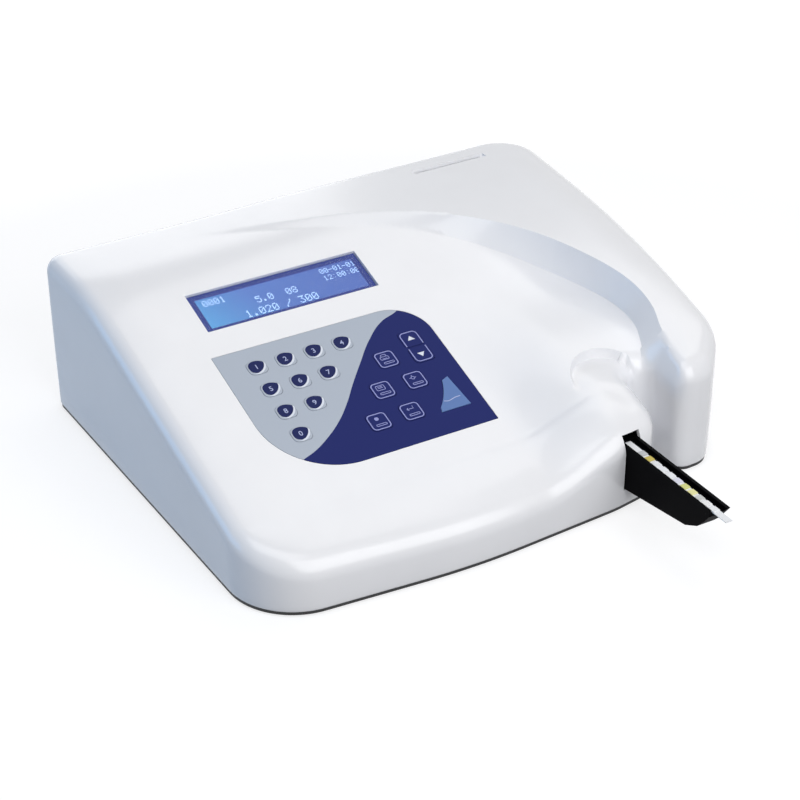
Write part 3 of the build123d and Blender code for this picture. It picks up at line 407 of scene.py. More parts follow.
def slot_depth(x, y):
    """The shallow trough around the paper slot."""
    room = np.minimum(np.minimum(x - SLOT_LEFT, SLOT_RIGHT - x),
                      np.minimum(y - SLOT_FRONT, SLOT_REAR - y))
    return SLOT_SINK * np.clip(room / SLOT_EDGE, 0, 1)


def top_height(points, rim_distance):
    """Height of the top at each point, rolled down towards the rim."""
    x, y = points[:, 0], points[:, 1]
    high_part = wing_height(x, y)
    low_part = panel_height(x, y) - dish_depth(x, y)
    high_part = high_part - slot_depth(x, y)
    on_wing = inside(points, wing_zone)
    past_foot = inside(points, foot_zone)
    to_top = distance(points, sweep_top, closed=False)
    to_foot = distance(points, sweep_foot, closed=False)
    share = np.where(on_wing, 1.0, np.where(past_foot, to_foot / (to_top + to_foot + 1e-9), 0))
    high_part = np.maximum(high_part, low_part)
    height = low_part + (high_part - low_part) * share
    soft = np.clip(1 - rim_distance / SHOULDER, 0, 1) ** 2 * (0.8 + 2.2 * smooth_step(-y, 20, 90))
    inward = np.clip(1 - rim_distance / ROLL, 0, 1)
    return height - soft - ROLL * (1 - np.sqrt(1 - inward ** 2))


# %% [markdown]
# The casing mesh is made in two parts that share their rim points. The top is a fine grid
# of points inside the rolled edge, joined by a constrained triangulation: the sweeping
# lines, the dish, the display window and the keypad recess are lines that the triangles
# must follow, so that each edge is crisp. The walls are the rim ring, extruded down in
# steps. First come the lines.

# %% Lines on the top
WINDOW = (128.2, -119.0, 130.0, 36.6)
KEYPAD = (130.65, -217.9, 152.3, 115.8)
KEYPAD_CORNER, KEYPAD_CURVE = 28.0, 52.0
STRETCH = math.sqrt(1 + SLOPE ** 2)


def rounded_box(middle_u, middle_v, length, height, radii, step=0.7):
    """A rectangle with rounded corners, with one radius for all or one for each."""
    a, b = length / 2, height / 2
    corners = zip([(-a, b), (a, b), (a, -b), (-a, -b)], np.broadcast_to(radii, 4))
    return rounded_ring(list(corners), step) + (middle_u, middle_v)


def panel_ring(*box, radii=0.6):
    """A rounded rectangle on the sloped panel, seen in plan."""
    return rounded_box(*box, radii, 2.5) / (1, STRETCH)


window_ring = panel_ring(*WINDOW)
keypad_ring = panel_ring(*KEYPAD[:2], KEYPAD[2] + 0.6, KEYPAD[3] + 0.6,
                         radii=(0.6, KEYPAD_CORNER, 0.6, KEYPAD_CURVE))
angles = np.linspace(0, 2 * math.pi, 72, endpoint=False)
dish_rings = [np.stack([DISH_X + r * np.cos(angles), DISH_Y + r * np.sin(angles)], axis=1)
              for r in (DISH_R, DISH_R - DISH_WALL)]


def box_ring(left, right, front, rear, inset=0.0):
    return np.array([(left + inset, front + inset), (right - inset, front + inset),
                     (right - inset, rear - inset), (left + inset, rear - inset)], float)


slot_rings = [box_ring(SLOT_LEFT, SLOT_RIGHT, SLOT_FRONT, SLOT_REAR, inset)
              for inset in (0, SLOT_EDGE)]
slit_ring = box_ring(286, 342, -24.0, -22.6)
ROLL_TURNS = [math.radians(a) for a in range(0, 91, 9)]
inner_rim = ring - normals * ROLL
GRID_STEP = 2.6


# %% [markdown]
# The lines become edges of the triangulation, and a staggered grid of points fills the
# rest. Triangles over the window, the keypad and the paper slit are dropped again.

# %% Top of the casing as triangles
def add_line(places, edges, line, closed=True):
    """Puts a line of points, and the edges between them, on the list."""
    start = len(places)
    places += [tuple(p) for p in line]
    edges += [(start + i, start + i + 1) for i in range(len(line) - 1)]
    if closed:
        edges.append((start + len(line) - 1, start))


def clear_runs(line):
    """The parts of a line that stay clear of the rolled edge."""
    clear = inside(line, inner_rim) & (distance(line, ring) > ROLL + 0.8)
    starts = [i for i in range(len(line)) if clear[i] and (i == 0 or not clear[i - 1])]
    runs = []
    for i in starts:
        j = i
        while j < len(line) and clear[j]:
            j += 1
        runs.append(line[i:j])
    return runs


def triangles(places, edges):
    """Points, triangles, their centres, and which given points each point comes from."""
    found, _, faces, origin, _, _ = delaunay_2d_cdt(
        [Vector(p) for p in places], edges, [], 1, 1e-5)
    flat = np.array([tuple(p) for p in found])
    return flat, faces, np.array([flat[list(face)].mean(axis=0) for face in faces]), origin


def top_triangles():
    """Triangles inside the rolled edge that follow every line, with their places."""
    places, edges = [], []
    add_line(places, edges, inner_rim)
    kept = []
    for line in (window_ring, keypad_ring, slit_ring, *slot_rings):
        add_line(places, edges, line)
        kept.append(line)
    for line in (sweep_top, sweep_foot, *dish_rings):
        for run in clear_runs(line):
            add_line(places, edges, run, closed=False)
            kept.append(run)
    xs = np.arange(0, CASE_WIDTH, GRID_STEP)
    ys = np.arange(-CASE_DEPTH, 0, GRID_STEP)
    grid = np.array([(x + (GRID_STEP / 2 if j % 2 else 0), y)
                     for j, y in enumerate(ys) for x in xs])
    grid = grid[inside(grid, inner_rim)]
    grid = grid[distance(grid, ring) > ROLL + GRID_STEP * 0.6]
    for line in kept:
        grid = grid[distance(grid, line, closed=False) > GRID_STEP * 0.4]
    places += [tuple(p) for p in grid]
    flat, faces, centres, origin = triangles(places, edges)
    rim_of = {}
    for i, sources in enumerate(origin):
        for source in sources:
            if source < len(ring):
                rim_of[source] = i
    open_area = ~inside(centres, inner_rim)
    for line in (window_ring, keypad_ring, slit_ring):
        open_area |= inside(centres, line)
    faces = [face for face, gone in zip(faces, open_area) if not gone]
    return flat, faces, rim_of


flat_top, top_faces, rim_of = top_triangles()
print("top of the casing:", len(flat_top), "points,", len(top_faces), "triangles")

# %% [markdown]
# Below the rim the wall falls almost straight, leans in a little, and curls under at the
# skirt, as a mould needs for its draft. Each ring of the wall repeats the plan, a little
# smaller. The wall gets its openings by cutting planes: the slot for the strip tray in
# the nose, and the door and the sockets behind. Solidify then gives the shell its
# thickness inwards, and the outside keeps its size.

# %% Casing
SKIRT = 3.2
WALL = 2.6
LEAN = 0.9
LIP = 2.2
SHARP_ANGLE = math.radians(33)


def wall_rings(rim_heights):
    """Inset and height of each ring of the wall, from the rim down to the skirt."""
    rings = []
    for share in (0.12, 0.26, 0.42, 0.58, 0.74, 0.88):
        rings.append((LEAN * share ** 2, rim_heights + (SKIRT + LIP - rim_heights) * share))
    for turn in (0, 30, 60, 85):
        a = math.radians(turn)
        inset = LEAN + LIP * (1 - math.cos(a))
        rings.append((inset, np.full(len(ring), SKIRT + LIP * (1 - math.sin(a)))))
    return rings


def join_rings(mesh, upper, lower):
    count = len(upper)
    for i in range(count):
        j = (i + 1) % count
        corners = [upper[i], upper[j], lower[j], lower[i]]
        if len(set(corners)) == 4:
            mesh.faces.new(corners)


def cut_opening(mesh, reach, x_range, z_range):
    """Cuts a rectangular opening in a wall that faces along y."""
    def near():
        return [f for f in mesh.faces if abs(f.normal.z) < 0.9
                and reach[0] < f.calc_center_median().y < reach[1]
                and x_range[0] - 12 < f.calc_center_median().x < x_range[1] + 12
                and f.calc_center_median().z < z_range[1] + 25]
    for place, normal in (((x_range[0], 0, 0), (1, 0, 0)), ((x_range[1], 0, 0), (1, 0, 0)),
                          ((0, 0, z_range[0]), (0, 0, 1)), ((0, 0, z_range[1]), (0, 0, 1))):
        faces = near()
        edges = {e for f in faces for e in f.edges}
        verts = {v for f in faces for v in f.verts}
        bmesh.ops.bisect_plane(mesh, geom=[*verts, *edges, *faces], dist=1e-4,
                               plane_co=place, plane_no=normal)
    mesh.normal_update()
    gone = [f for f in near()
            if x_range[0] < f.calc_center_median().x < x_range[1]
            and z_range[0] < f.calc_center_median().z < z_range[1]]
    bmesh.ops.delete(mesh, geom=gone, context="FACES")
    return len(gone)


TRAY_ROOM = 0.6                 # air below the tray in its slot
TRAY_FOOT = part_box("strip_tray")[0].z / MM - TRAY_ROOM
NOSE_WALL, REAR_WALL = (-340, -300), (-6, 2)
DOOR_X, DOOR_Z = (283.5, 344.5), (26, 88)
SOCKETS_X, SOCKETS_Z = (40, 190), (16, 58)
NOSE_SLOT_X = (NOSE_X - 7, NOSE_X + 7)
NOSE_SLOT_Z = (TRAY_FOOT, 55.5)


def finish_mesh(name, mesh, material, body):
    """Makes an object from a mesh in millimetres from the rear left corner."""
    bmesh.ops.transform(mesh, verts=mesh.verts,
                        matrix=Matrix.Translation(home(0, 0)) @ Matrix.Scale(MM, 4))
    data = bpy.data.meshes.new(name)
    mesh.to_mesh(data)
    mesh.free()
    data.shade_smooth()
    data.set_sharp_from_angle(angle=SHARP_ANGLE)
    piece = bpy.data.objects.new(name, data)
    bpy.context.collection.objects.link(piece)
    data.materials.append(material)
    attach(piece, body)
    return piece


def applied(piece):
    """Applies a piece's modifiers and marks its sharp edges again."""
    graph = bpy.context.evaluated_depsgraph_get()
    data = bpy.data.meshes.new_from_object(piece.evaluated_get(graph))
    piece.modifiers.clear()
    piece.data = data
    data.shade_smooth()
    data.set_sharp_from_angle(angle=SHARP_ANGLE)
    return piece


def build_casing():
    rim_distance = distance(flat_top, ring)
    heights = top_height(flat_top, rim_distance)
    mesh = bmesh.new()
    top = [mesh.verts.new((x, y, z)) for (x, y), z in zip(flat_top, heights)]
    for face in top_faces:
        mesh.faces.new([top[i] for i in face])
    upper = [top[rim_of[i]] for i in range(len(ring))]
    for turn in ROLL_TURNS[-2::-1]:
        inset = ROLL * (1 - math.cos(turn))
        places = ring - normals * inset
        levels = top_height(places, np.full(len(ring), inset))
        lower = [mesh.verts.new((x, y, z)) for (x, y), z in zip(places, levels)]
        join_rings(mesh, upper, lower)
        upper = lower
    for inset, level in wall_rings(levels):
        places = ring - normals * inset
        lower = [mesh.verts.new((x, y, z)) for (x, y), z in zip(places, level)]
        join_rings(mesh, upper, lower)
        upper = lower
    mesh.normal_update()
    if sum(f.normal.z * f.calc_area() for f in mesh.faces) < 0:
        bmesh.ops.reverse_faces(mesh, faces=mesh.faces)
    cuts = [cut_opening(mesh, NOSE_WALL, NOSE_SLOT_X, NOSE_SLOT_Z),
            cut_opening(mesh, REAR_WALL, DOOR_X, DOOR_Z),
            cut_opening(mesh, REAR_WALL, SOCKETS_X, SOCKETS_Z)]
    print("casing cuts", cuts, "faces", len(mesh.faces))
    piece = finish_mesh("casing", mesh, white_plastic, "housing")
    shell = piece.modifiers.new("wall", "SOLIDIFY")
    shell.thickness = WALL * MM
    shell.offset = -1
    return applied(piece)


casing = build_casing()
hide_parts("top_cover")
print("casing", len(casing.data.polygons), "faces")

# %% [markdown]
# A black plate closes the casing from below. It follows the plan, set in a little, and
# shows as the thin dark line at the table. Its outline and the four screw holes are
# triangulated like the top, and the flat sheet is then extruded to its thickness.

# %% Base plate
PLATE_LOW, PLATE_HIGH = 1.6, 4.6
PLATE_INSET = LEAN + LIP - 1.4
SCREWS = [(16, -262), (228, -300), (16, -20), (366, -70)]
SCREW_HOLE = 3.4

places, edges = [], []
plate_ring = ring - normals * PLATE_INSET
add_line(places, edges, plate_ring)
holes = [np.array([(x + SCREW_HOLE * math.cos(a), y + SCREW_HOLE * math.sin(a))
                   for a in angles[::3]]) for x, y in SCREWS]
for hole in holes:
    add_line(places, edges, hole)
flat, faces, centres, _ = triangles(places, edges)
shut = inside(centres, plate_ring)
for hole in holes:
    shut &= ~inside(centres, hole)
mesh = bmesh.new()
corners = [mesh.verts.new((x, y, PLATE_LOW)) for x, y in flat]
sheet = [mesh.faces.new([corners[i] for i in face]) for face, keep in zip(faces, shut) if keep]
risen = bmesh.ops.extrude_face_region(mesh, geom=sheet, use_keep_orig=True)["geom"]
bmesh.ops.translate(mesh, vec=(0, 0, PLATE_HIGH - PLATE_LOW),
                    verts=[g for g in risen if isinstance(g, bmesh.types.BMVert)])
bmesh.ops.delete(mesh, geom=[v for v in mesh.verts if not v.link_faces], context="VERTS")
bmesh.ops.recalc_face_normals(mesh, faces=mesh.faces)
base = finish_mesh("base", mesh, black_base, "housing")
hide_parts("base_plate")
print("base", len(base.data.polygons), "faces")

# %% [markdown]
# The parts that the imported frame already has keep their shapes, and get their real finish
# here. Each name below is a part, and each value is what it is made of.

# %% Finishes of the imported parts
def wear_of(node, material):
    """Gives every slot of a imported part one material."""
    data = nodes[node].data
    if not data.materials:
        data.materials.append(material)
    for slot in nodes[node].material_slots:
        slot.material = material


FINISHES = {
    "rubber_feet": rubber, "cover_screws": steel,
    "display_board": circuit, "strip_tray": tray_black, "tray_rack": nylon,
    "tray_guide": grey_part, "tray_motor": motor_metal, "motor_shaft": steel,
    "drive_pinion": brass, "motor_bracket": steel, "optical_head": black_part,
    "head_bracket": steel, "home_sensor": black_part, "main_board": circuit,
    "board_parts": chip, "board_screws": steel, "power_supply": steel,
    "rear_panel": grey_part, "power_inlet": black_part, "power_switch": black_part,
    "power_rocker": black_part, "serial_port": steel, "printer_frame": grey_part,
    "print_head": steel, "platen_roller": rubber, "platen_gear": nylon,
    "printer_motor": motor_metal, "printer_pinion": brass, "paper_roll": paper,
    "paper_spindle": nylon, "printer_door": white_plastic, "door_hinge_pin": steel,
    "paper_tear_bar": steel}
for node, material in FINISHES.items():
    wear_of(node, material)
print("finished", len(FINISHES), "packed parts")


# %% [markdown]
# The keypad is a printed film. A lighter field with the number keys meets a navy field in a
# long S. The print is a matter of colour only, so one material draws it from the place on
# the panel: a curve gives the border, and a comparison picks the side. The keys carry the
# same film, so they take the same material.

# %% Panel coordinates and the printed film
PANEL = (Matrix.Translation((0, 0, PANEL_HEIGHT))
         @ Matrix.Rotation(math.atan(SLOPE), 4, "X"))
BORDER = [(60, -266), (70.3, -261), (80, -257.5), (92.6, -250.5), (107.4, -239.6),
          (119.7, -227.4), (131.4, -213.7), (145.8, -197.9), (160.3, -182.6),
          (177.8, -169.1), (191.7, -164.1), (199, -159)]
BORDER_U, BORDER_V = (50.0, 160.0), (-270.0, 115.0)     # start and span
GREY_FIELD = (*rgb(184, 193, 206), 1)
NAVY_FIELD = (*rgb(38, 46, 106), 1)


def panel_u(finish):
    return finish.axis("X") * (1 / MM) - HOME_X


def panel_v(finish):
    return (finish.axis("Y") * (1 / MM) - HOME_Y) * STRETCH


def make_film():
    film = Finish("printed_film", (0.2, 0.2, 0.2), 0.42, Specular_IOR_Level=0.04)
    curve = film.node("ShaderNodeFloatCurve", "Value",
                      Value=(panel_v(film) - BORDER_V[0]) / BORDER_V[1])
    line = curve.socket.node.mapping.curves[0]
    stops = [((v - BORDER_V[0]) / BORDER_V[1], (u - BORDER_U[0]) / BORDER_U[1])
             for u, v in BORDER]
    line.points[0].location = stops[0]
    line.points[1].location = stops[-1]
    for stop in stops[1:-1]:
        line.points.new(*stop)
    curve.socket.node.mapping.update()
    navy_side = panel_u(film) > curve * BORDER_U[1] + BORDER_U[0]
    cloud = film.noise(18.0, 2.0)
    shade = film.mix(cloud, (0.96, 0.96, 0.97, 1), (1, 1, 1, 1))
    field = film.mix(navy_side, GREY_FIELD, NAVY_FIELD)
    mixed = film.node("ShaderNodeMix", 2, {"data_type": "RGBA", "blend_type": "MULTIPLY"},
                      Factor=1.0, i6=field, i7=shade)
    film.set("Base Color", mixed)
    film.set("Roughness", cloud * 0.08 + 0.38)
    film.bump(film.noise(2600.0, 1.0), 0.05, 0.0002)
    return film.material


film = make_film()
KEYS = ["key_" + name for name in (*"0123456789", "print", "menu", "line", "clear", "enter",
                                   "up", "down")]
for node in ("keypad_overlay", "keypad_membrane", *KEYS):
    wear_of(node, film)
start_blue = plastic("start_key_blue", rgb(92, 124, 182), 0.4, 0.04, Specular_IOR_Level=0.2)
wear_of("key_start", start_blue)

# %% [markdown]
# Each key has its own print, a layer of ink a few hundredths of a millimetre thick. Ink
# shapes are flat outlines that are extruded a little. They ride on the key, so a pressed
# key takes its print with it. The digits come from the text tool; the function keys get a
# plain sign and a bar.

# %% Ink helpers
INK = 0.06


def node_places(node):
    """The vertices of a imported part, seen from the panel, in millimetres."""
    to_panel = PANEL.inverted() @ Matrix.Scale(1 / MM, 4) @ Matrix.Translation(-home(0, 0))
    return np.array([to_panel @ v.co for v in nodes[node].data.vertices])


def node_frame(node):
    """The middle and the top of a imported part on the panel."""
    places = node_places(node)
    low_, high_ = places.min(axis=0), places.max(axis=0)
    return (low_[0] + high_[0]) / 2, (low_[1] + high_[1]) / 2, high_[2]


def ink_fill(mesh, outline, level, thick=INK):
    """A flat shape, extruded by the thickness of the ink."""
    face = mesh.faces.new([mesh.verts.new((u, v, level - 0.02)) for u, v in outline])
    face.normal_update()
    if face.normal.z < 0:
        face.normal_flip()
    made = bmesh.ops.extrude_face_region(mesh, geom=[face])["geom"]
    bmesh.ops.translate(mesh, vec=(0, 0, thick + 0.02),
                        verts=[g for g in made if isinstance(g, bmesh.types.BMVert)])


def ink_line(mesh, outline, width, level, closed=True):
    """A line of ink along an outline, as a closed ribbon."""
    points = np.array(outline, float)
    if closed:
        along = np.roll(points, -1, axis=0) - np.roll(points, 1, axis=0)
    else:
        along = np.gradient(points, axis=0)
    along /= np.linalg.norm(along, axis=1)[:, None]
    side = np.stack([-along[:, 1], along[:, 0]], axis=1) * width / 2
    rows = [[mesh.verts.new((*p, z)) for p in points + side * s]
            for s, z in ((1, level - 0.02), (1, level + INK), (-1, level + INK),
                         (-1, level - 0.02))]
    count = len(points)
    for i in range(count if closed else count - 1):
        j = (i + 1) % count
        for a, b in ((0, 1), (1, 2), (2, 3)):
            mesh.faces.new([rows[a][i], rows[a][j], rows[b][j], rows[b][i]])


def disc(middle_u, middle_v, radius, sides=20):
    return [(middle_u + radius * math.cos(2 * math.pi * i / sides),
             middle_v + radius * math.sin(2 * math.pi * i / sides)) for i in range(sides)]


def glyph(mesh, sign, middle_u, middle_v, height, level):
    """A digit as a thin solid, from the built-in font."""
    curve = bpy.data.curves.new("digit", "FONT")
    curve.body = sign
    curve.size = height / 0.7
    curve.align_x = "CENTER"
    curve.extrude = INK / 2
    curve.offset = 0.012 * height
    helper = bpy.data.objects.new("digit", curve)
    data = bpy.data.meshes.new_from_object(helper)
    data.transform(Matrix.Translation((middle_u, middle_v - height / 2, level + INK / 2)))
    mesh.from_mesh(data)
    bpy.data.objects.remove(helper)
    bpy.data.curves.remove(curve)
    bpy.data.meshes.remove(data)


def print_piece(name, mesh, material, body):
    """Closes a print and puts it on the panel."""
    bmesh.ops.remove_doubles(mesh, verts=mesh.verts, dist=1e-4)
    bmesh.ops.recalc_face_normals(mesh, faces=mesh.faces)
    bmesh.ops.transform(mesh, matrix=PANEL, verts=mesh.verts)
    piece = finish_mesh(name, mesh, material, body)
    return piece


navy_ink = plastic("navy_ink", rgb(34, 42, 92), 0.34, 0.03, Specular_IOR_Level=0.05)
# White print for the arrows, and also the painted highlight crescents on the number keys.
white_ink_and_highlight = plastic("white_ink_and_highlight", rgb(226, 232, 244), 0.36, 0.03, Specular_IOR_Level=0.2)
light_ink = plastic("light_ink", rgb(178, 188, 226), 0.36, 0.03, Specular_IOR_Level=0.2)
lilac_ink = plastic("lilac_ink", rgb(150, 156, 212), 0.36, 0.03, Specular_IOR_Level=0.2)

# %% [markdown]
# The number keys have a navy mark like a guitar pick. A second, white one lies under it, pushed
# towards the lower right, so that only a crescent of it shows. That white crescent is a painted
# highlight along the key's lower right edge.

# %% Number keys
PICK = [(-6.4, 0.4), (-5.3, 4.0), (-1.9, 5.9), (2.4, 5.7), (6.5, 3.4), (5.7, -0.6),
        (2.6, -4.2), (-2.0, -6.0), (-5.4, -3.9)]
PICK_SCALE, PICK_LIFT = 0.88, 0.5
# Offset of the white painted highlight crescent under each navy pick.
HIGHLIGHT_SHIFT = (0.85, -1.15)
pick_line = smooth_line([PICK[-1], *PICK, PICK[0], PICK[1]], 4)[4:-4][:-1]
DIGIT_HEIGHT = 3.9

for digit in "0123456789":
    u, v, level = node_frame("key_" + digit)
    for name, ink, shift, thick in (("painted_highlight_", white_ink_and_highlight, HIGHLIGHT_SHIFT, INK),
                                    ("pick_", navy_ink, (0, 0), 2 * INK)):
        mark = bmesh.new()
        ink_fill(mark, [(u + p[0] * PICK_SCALE + shift[0],
                         v + p[1] * PICK_SCALE + PICK_LIFT + shift[1])
                        for p in pick_line], level, thick)
        print_piece(name + digit, mark, ink, "button_" + digit)
    sign = bmesh.new()
    glyph(sign, digit, u - 0.2, v + PICK_LIFT, DIGIT_HEIGHT, level + 2 * INK)
    print_piece("digit_" + digit, sign, light_ink, "button_" + digit)
print("ten number keys printed")

# %% [markdown]
# The function keys are outlined squares with round corners, each with a small plain sign
# and a bar. The two arrow keys share one tall outline, which is drawn half on each key.

# %% Function keys
LINE_WIDTH = 0.75
SQUARE, SQUARE_CORNER = 12.9, 2.6


def square_key(name, sign):
    """Outline, bar and a sign of its own for one key."""
    u, v, level = node_frame("key_" + name)
    mesh = bmesh.new()
    ink_line(mesh, rounded_box(u, v, SQUARE, SQUARE, SQUARE_CORNER), LINE_WIDTH, level)
    ink_line(mesh, rounded_box(u + 0.6, v - 3.1, 7.4, 1.5, 0.5), 0.5, level)
    for kind, values in sign:
        if kind == "line":
            ink_line(mesh, [(u + a, v + b) for a, b in values], 0.5, level, closed=False)
        elif kind == "ring":
            ink_line(mesh, disc(u + values[0], v + values[1], values[2]), 0.5, level)
        elif kind == "dot":
            ink_fill(mesh, disc(u + values[0], v + values[1], values[2]), level)
        else:
            ink_line(mesh, rounded_box(u + values[0], v + values[1], *values[2:], 0.5), 0.5,
                     level)
    return print_piece("print_" + name, mesh, lilac_ink, "button_" + name)


square_key("print", [("box", (-0.6, 1.4, 6.0, 2.6)), ("box", (-0.6, 3.7, 3.6, 1.8)),
                     ("line", [(-2.4, 0.9), (1.2, 0.9)])])
square_key("clear", [("ring", (-0.6, 2.2, 1.2)), ("line", [(-3.1, 2.2), (-2.2, 2.2)]),
                     ("line", [(1.0, 2.2), (1.9, 2.2)]), ("line", [(-0.6, 3.8), (-0.6, 4.6)])])
square_key("menu", [("box", (-0.6, 2.2, 6.0, 4.0)), ("line", [(-2.4, 3.1), (1.2, 3.1)]),
                    ("line", [(-2.4, 2.0), (1.2, 2.0)])])
square_key("enter", [("line", [(2.2, 4.2), (2.2, 2.0), (-2.8, 2.0)]),
                     ("line", [(-1.4, 3.2), (-2.8, 2.0), (-1.4, 0.8)])])
square_key("line", [("dot", (-0.6, 2.4, 1.5))])

ARROW_MARGIN = 2.2
arrow_span = np.vstack([node_places("key_up"), node_places("key_down")])
ARROW_WIDTH, ARROW_HEIGHT = np.ptp(arrow_span, axis=0)[:2] - ARROW_MARGIN
print("arrow outline", ARROW_WIDTH, ARROW_HEIGHT)
up_place, down_place = node_frame("key_up"), node_frame("key_down")
arrow_u, arrow_v = up_place[0], (up_place[1] + down_place[1]) / 2
for name, side, (u, v, level) in (("up", 1, up_place), ("down", -1, down_place)):
    mesh = bmesh.new()
    inner_edge = side * (side * node_places("key_" + name)[:, 1]).min()
    ink_line(mesh, rounded_box(arrow_u, arrow_v, ARROW_WIDTH, ARROW_HEIGHT, 3.0), LINE_WIDTH,
             level)
    bmesh.ops.bisect_plane(mesh, geom=[*mesh.verts, *mesh.edges, *mesh.faces], dist=1e-5,
                           plane_co=(0, inner_edge + side * 0.5, 0), plane_no=(0, -side, 0),
                           clear_outer=True)
    print_piece("outline_" + name, mesh, lilac_ink, "button_" + name)
    mesh = bmesh.new()
    ink_fill(mesh, [(u - 2.7, v - side * 1.4), (u, v + side * 2.4), (u + 2.7, v - side * 1.4)],
             level)
    print_piece("arrow_" + name, mesh, white_ink_and_highlight, "button_" + name)

START_WAVE = [(180.5, -249.5), (184, -250.4), (189, -249.2), (193.2, -249.0)]
mesh = bmesh.new()
ink_line(mesh, smooth_line(START_WAVE, 4), 0.6, node_frame("key_start")[2], closed=False)
print_piece("print_start", mesh, light_ink, "button_start")
print("function keys printed")

# %% [markdown]
# The screen is a lit blue display behind a clear window. The glow is brighter towards the lower
# left, and a dark navy band along its upper edge is painted shade from the recess edge above it.
# The signs are dots on a grid, as on a real dot display: each digit is five dots wide and seven
# high.

# %% Display
glass = node_places("display_glass")
screen_low, screen_high = glass.min(axis=0), glass.max(axis=0)
print("display glass on the panel", screen_low.round(1), screen_high.round(1))
WINDOW_LEFT = WINDOW[0] - WINDOW[2] / 2
WINDOW_TOP = WINDOW[1] + WINDOW[3] / 2
# Painted shade: the depth and the navy colour of the band along the window's upper edge.
SHADE_BAND = 4.2
CYAN, MID_BLUE, DEEP_BLUE = rgb(84, 168, 222), rgb(84, 124, 198), rgb(72, 96, 176)
SHADE_BAND_BLUE = rgb(46, 54, 146)


def make_screen():
    screen = Finish("lit_blue_display", (0.02, 0.03, 0.08), 0.3, Specular_IOR_Level=0.12)
    along = ((panel_u(screen) - WINDOW_LEFT) / WINDOW[2]).maths("MAXIMUM", 0.0)
    down = (WINDOW_TOP - panel_v(screen)) / WINDOW[3]
    reach = (along * 1.9 + (1 - down) * 0.45).maths("MINIMUM", 1.0).maths("MAXIMUM", 0.0)
    colour = screen.mix(reach, (*CYAN, 1), (*MID_BLUE, 1))
    colour = screen.mix(along.maths("MINIMUM", 1.0), colour, (*DEEP_BLUE, 1))
    # Painted shade along the window's upper edge.
    band = panel_v(screen) > WINDOW_TOP - SHADE_BAND
    colour = screen.mix(band, colour, (*SHADE_BAND_BLUE, 1))
    screen.set("Emission Color", colour)
    screen.set("Emission Strength", 0.95)
    cells = screen.node("ShaderNodeTexNoise", "Fac", Vector=screen.place(), Scale=1800.0)
    screen.set("Roughness", cells * 0.1 + 0.2)
    return screen.material


wear_of("display_glass", make_screen())

DIGIT_DOTS = {"0": "0E11131519110E", "1": "040C040404040E", "2": "0E11010204081F",
              "3": "1F02040201110E", "4": "02060A121F0202", "5": "1F101E0101110E",
              "6": "0608101E11110E", "7": "1F010204080808", "8": "0E11110E11110E",
              "9": "0E11110F01020C", ":": "00040000000400", "-": "0000001F000000",
              ".": "00000000000C0C", "/": "01010204081010"}
DOT_PITCH, DOT_SIZE = 0.62, 0.52


def dot_text(mesh, text, left, top, level, pitch=DOT_PITCH, step=6.0):
    """Writes digits as square dots."""
    for place, sign in enumerate(text):
        if sign == " ":
            continue
        rows = [int(DIGIT_DOTS[sign][i:i + 2], 16) for i in range(0, 14, 2)]
        for row, bits in enumerate(rows):
            for column in range(5):
                if bits >> (4 - column) & 1:
                    u0 = left + (place * step + column) * pitch
                    v0 = top - row * pitch * 1.15
                    half = pitch * DOT_SIZE / DOT_PITCH / 2
                    bmesh.ops.create_cube(
                        mesh, size=1.0,
                        matrix=Matrix.Translation((u0, v0, level + 0.03))
                        @ Matrix.Diagonal((2 * half, 2.3 * half, 0.08, 1)))


lit_dots = Finish("lit_dots", (0.3, 0.4, 0.6), 0.4)
flicker = lit_dots.noise(90.0)
lit_dots.set("Emission Color", lit_dots.mix(flicker, (*rgb(178, 212, 246), 1),
                                            (*rgb(150, 190, 240), 1)))
lit_dots.set("Emission Strength", 0.9)

mesh = bmesh.new()
level = screen_high[2]
window_floor = node_places("display_window")[:, 2].min()
print("display levels", level, "window", window_floor)
for text, left, top, pitch in (
        ("0001", 72.5, -107.8, 0.72), ("00-01-01", 162.0, -107.6, 0.58),
        ("12:00:00", 162.0, -114.4, 0.58), ("5.0  08", 108.5, -116.2, 0.76),
        ("1.020 / 300", 96.0, -126.2, 0.84)):
    dot_text(mesh, text, left, top, level, pitch)
bmesh.ops.transform(mesh, matrix=PANEL, verts=mesh.verts)
dots = finish_mesh("display_dots", mesh, lit_dots.material, "housing")
print("display dots", len(dots.data.polygons) // 6)

# A navy gasket frames the screen and covers the gap at its edges; its wide strip along the top is
# the same painted shade as the band on the screen.
mesh = bmesh.new()
GASKET_LAP, GASKET_ROOM = 1.0, 0.35
half_u, half_v = WINDOW[2] / 2 - GASKET_ROOM, WINDOW[3] / 2 - GASKET_ROOM
inner = box_ring(screen_low[0] + GASKET_LAP, screen_high[0] - GASKET_LAP,
                 WINDOW_TOP - SHADE_BAND, screen_low[1] + GASKET_LAP)
outer = box_ring(WINDOW[0] - half_u, WINDOW[0] + half_u,
                 WINDOW[1] + half_v, WINDOW[1] - half_v)
loops = [[mesh.verts.new((*p, window_floor - sink)) for p in points]
         for points, sink in ((outer, 0.05), (inner, 0.05), (inner, 0.85), (outer, 0.85))]
for k in range(4):
    join_rings(mesh, loops[k], loops[(k + 1) % 4])
bmesh.ops.recalc_face_normals(mesh, faces=mesh.faces)
bmesh.ops.transform(mesh, matrix=PANEL, verts=mesh.verts)
gasket_and_shade_blue = plastic("display_gasket_and_shade", rgb(44, 52, 138), 0.5, 0.05, Specular_IOR_Level=0.2)
finish_mesh("display_gasket_and_shade", mesh, gasket_and_shade_blue, "housing")

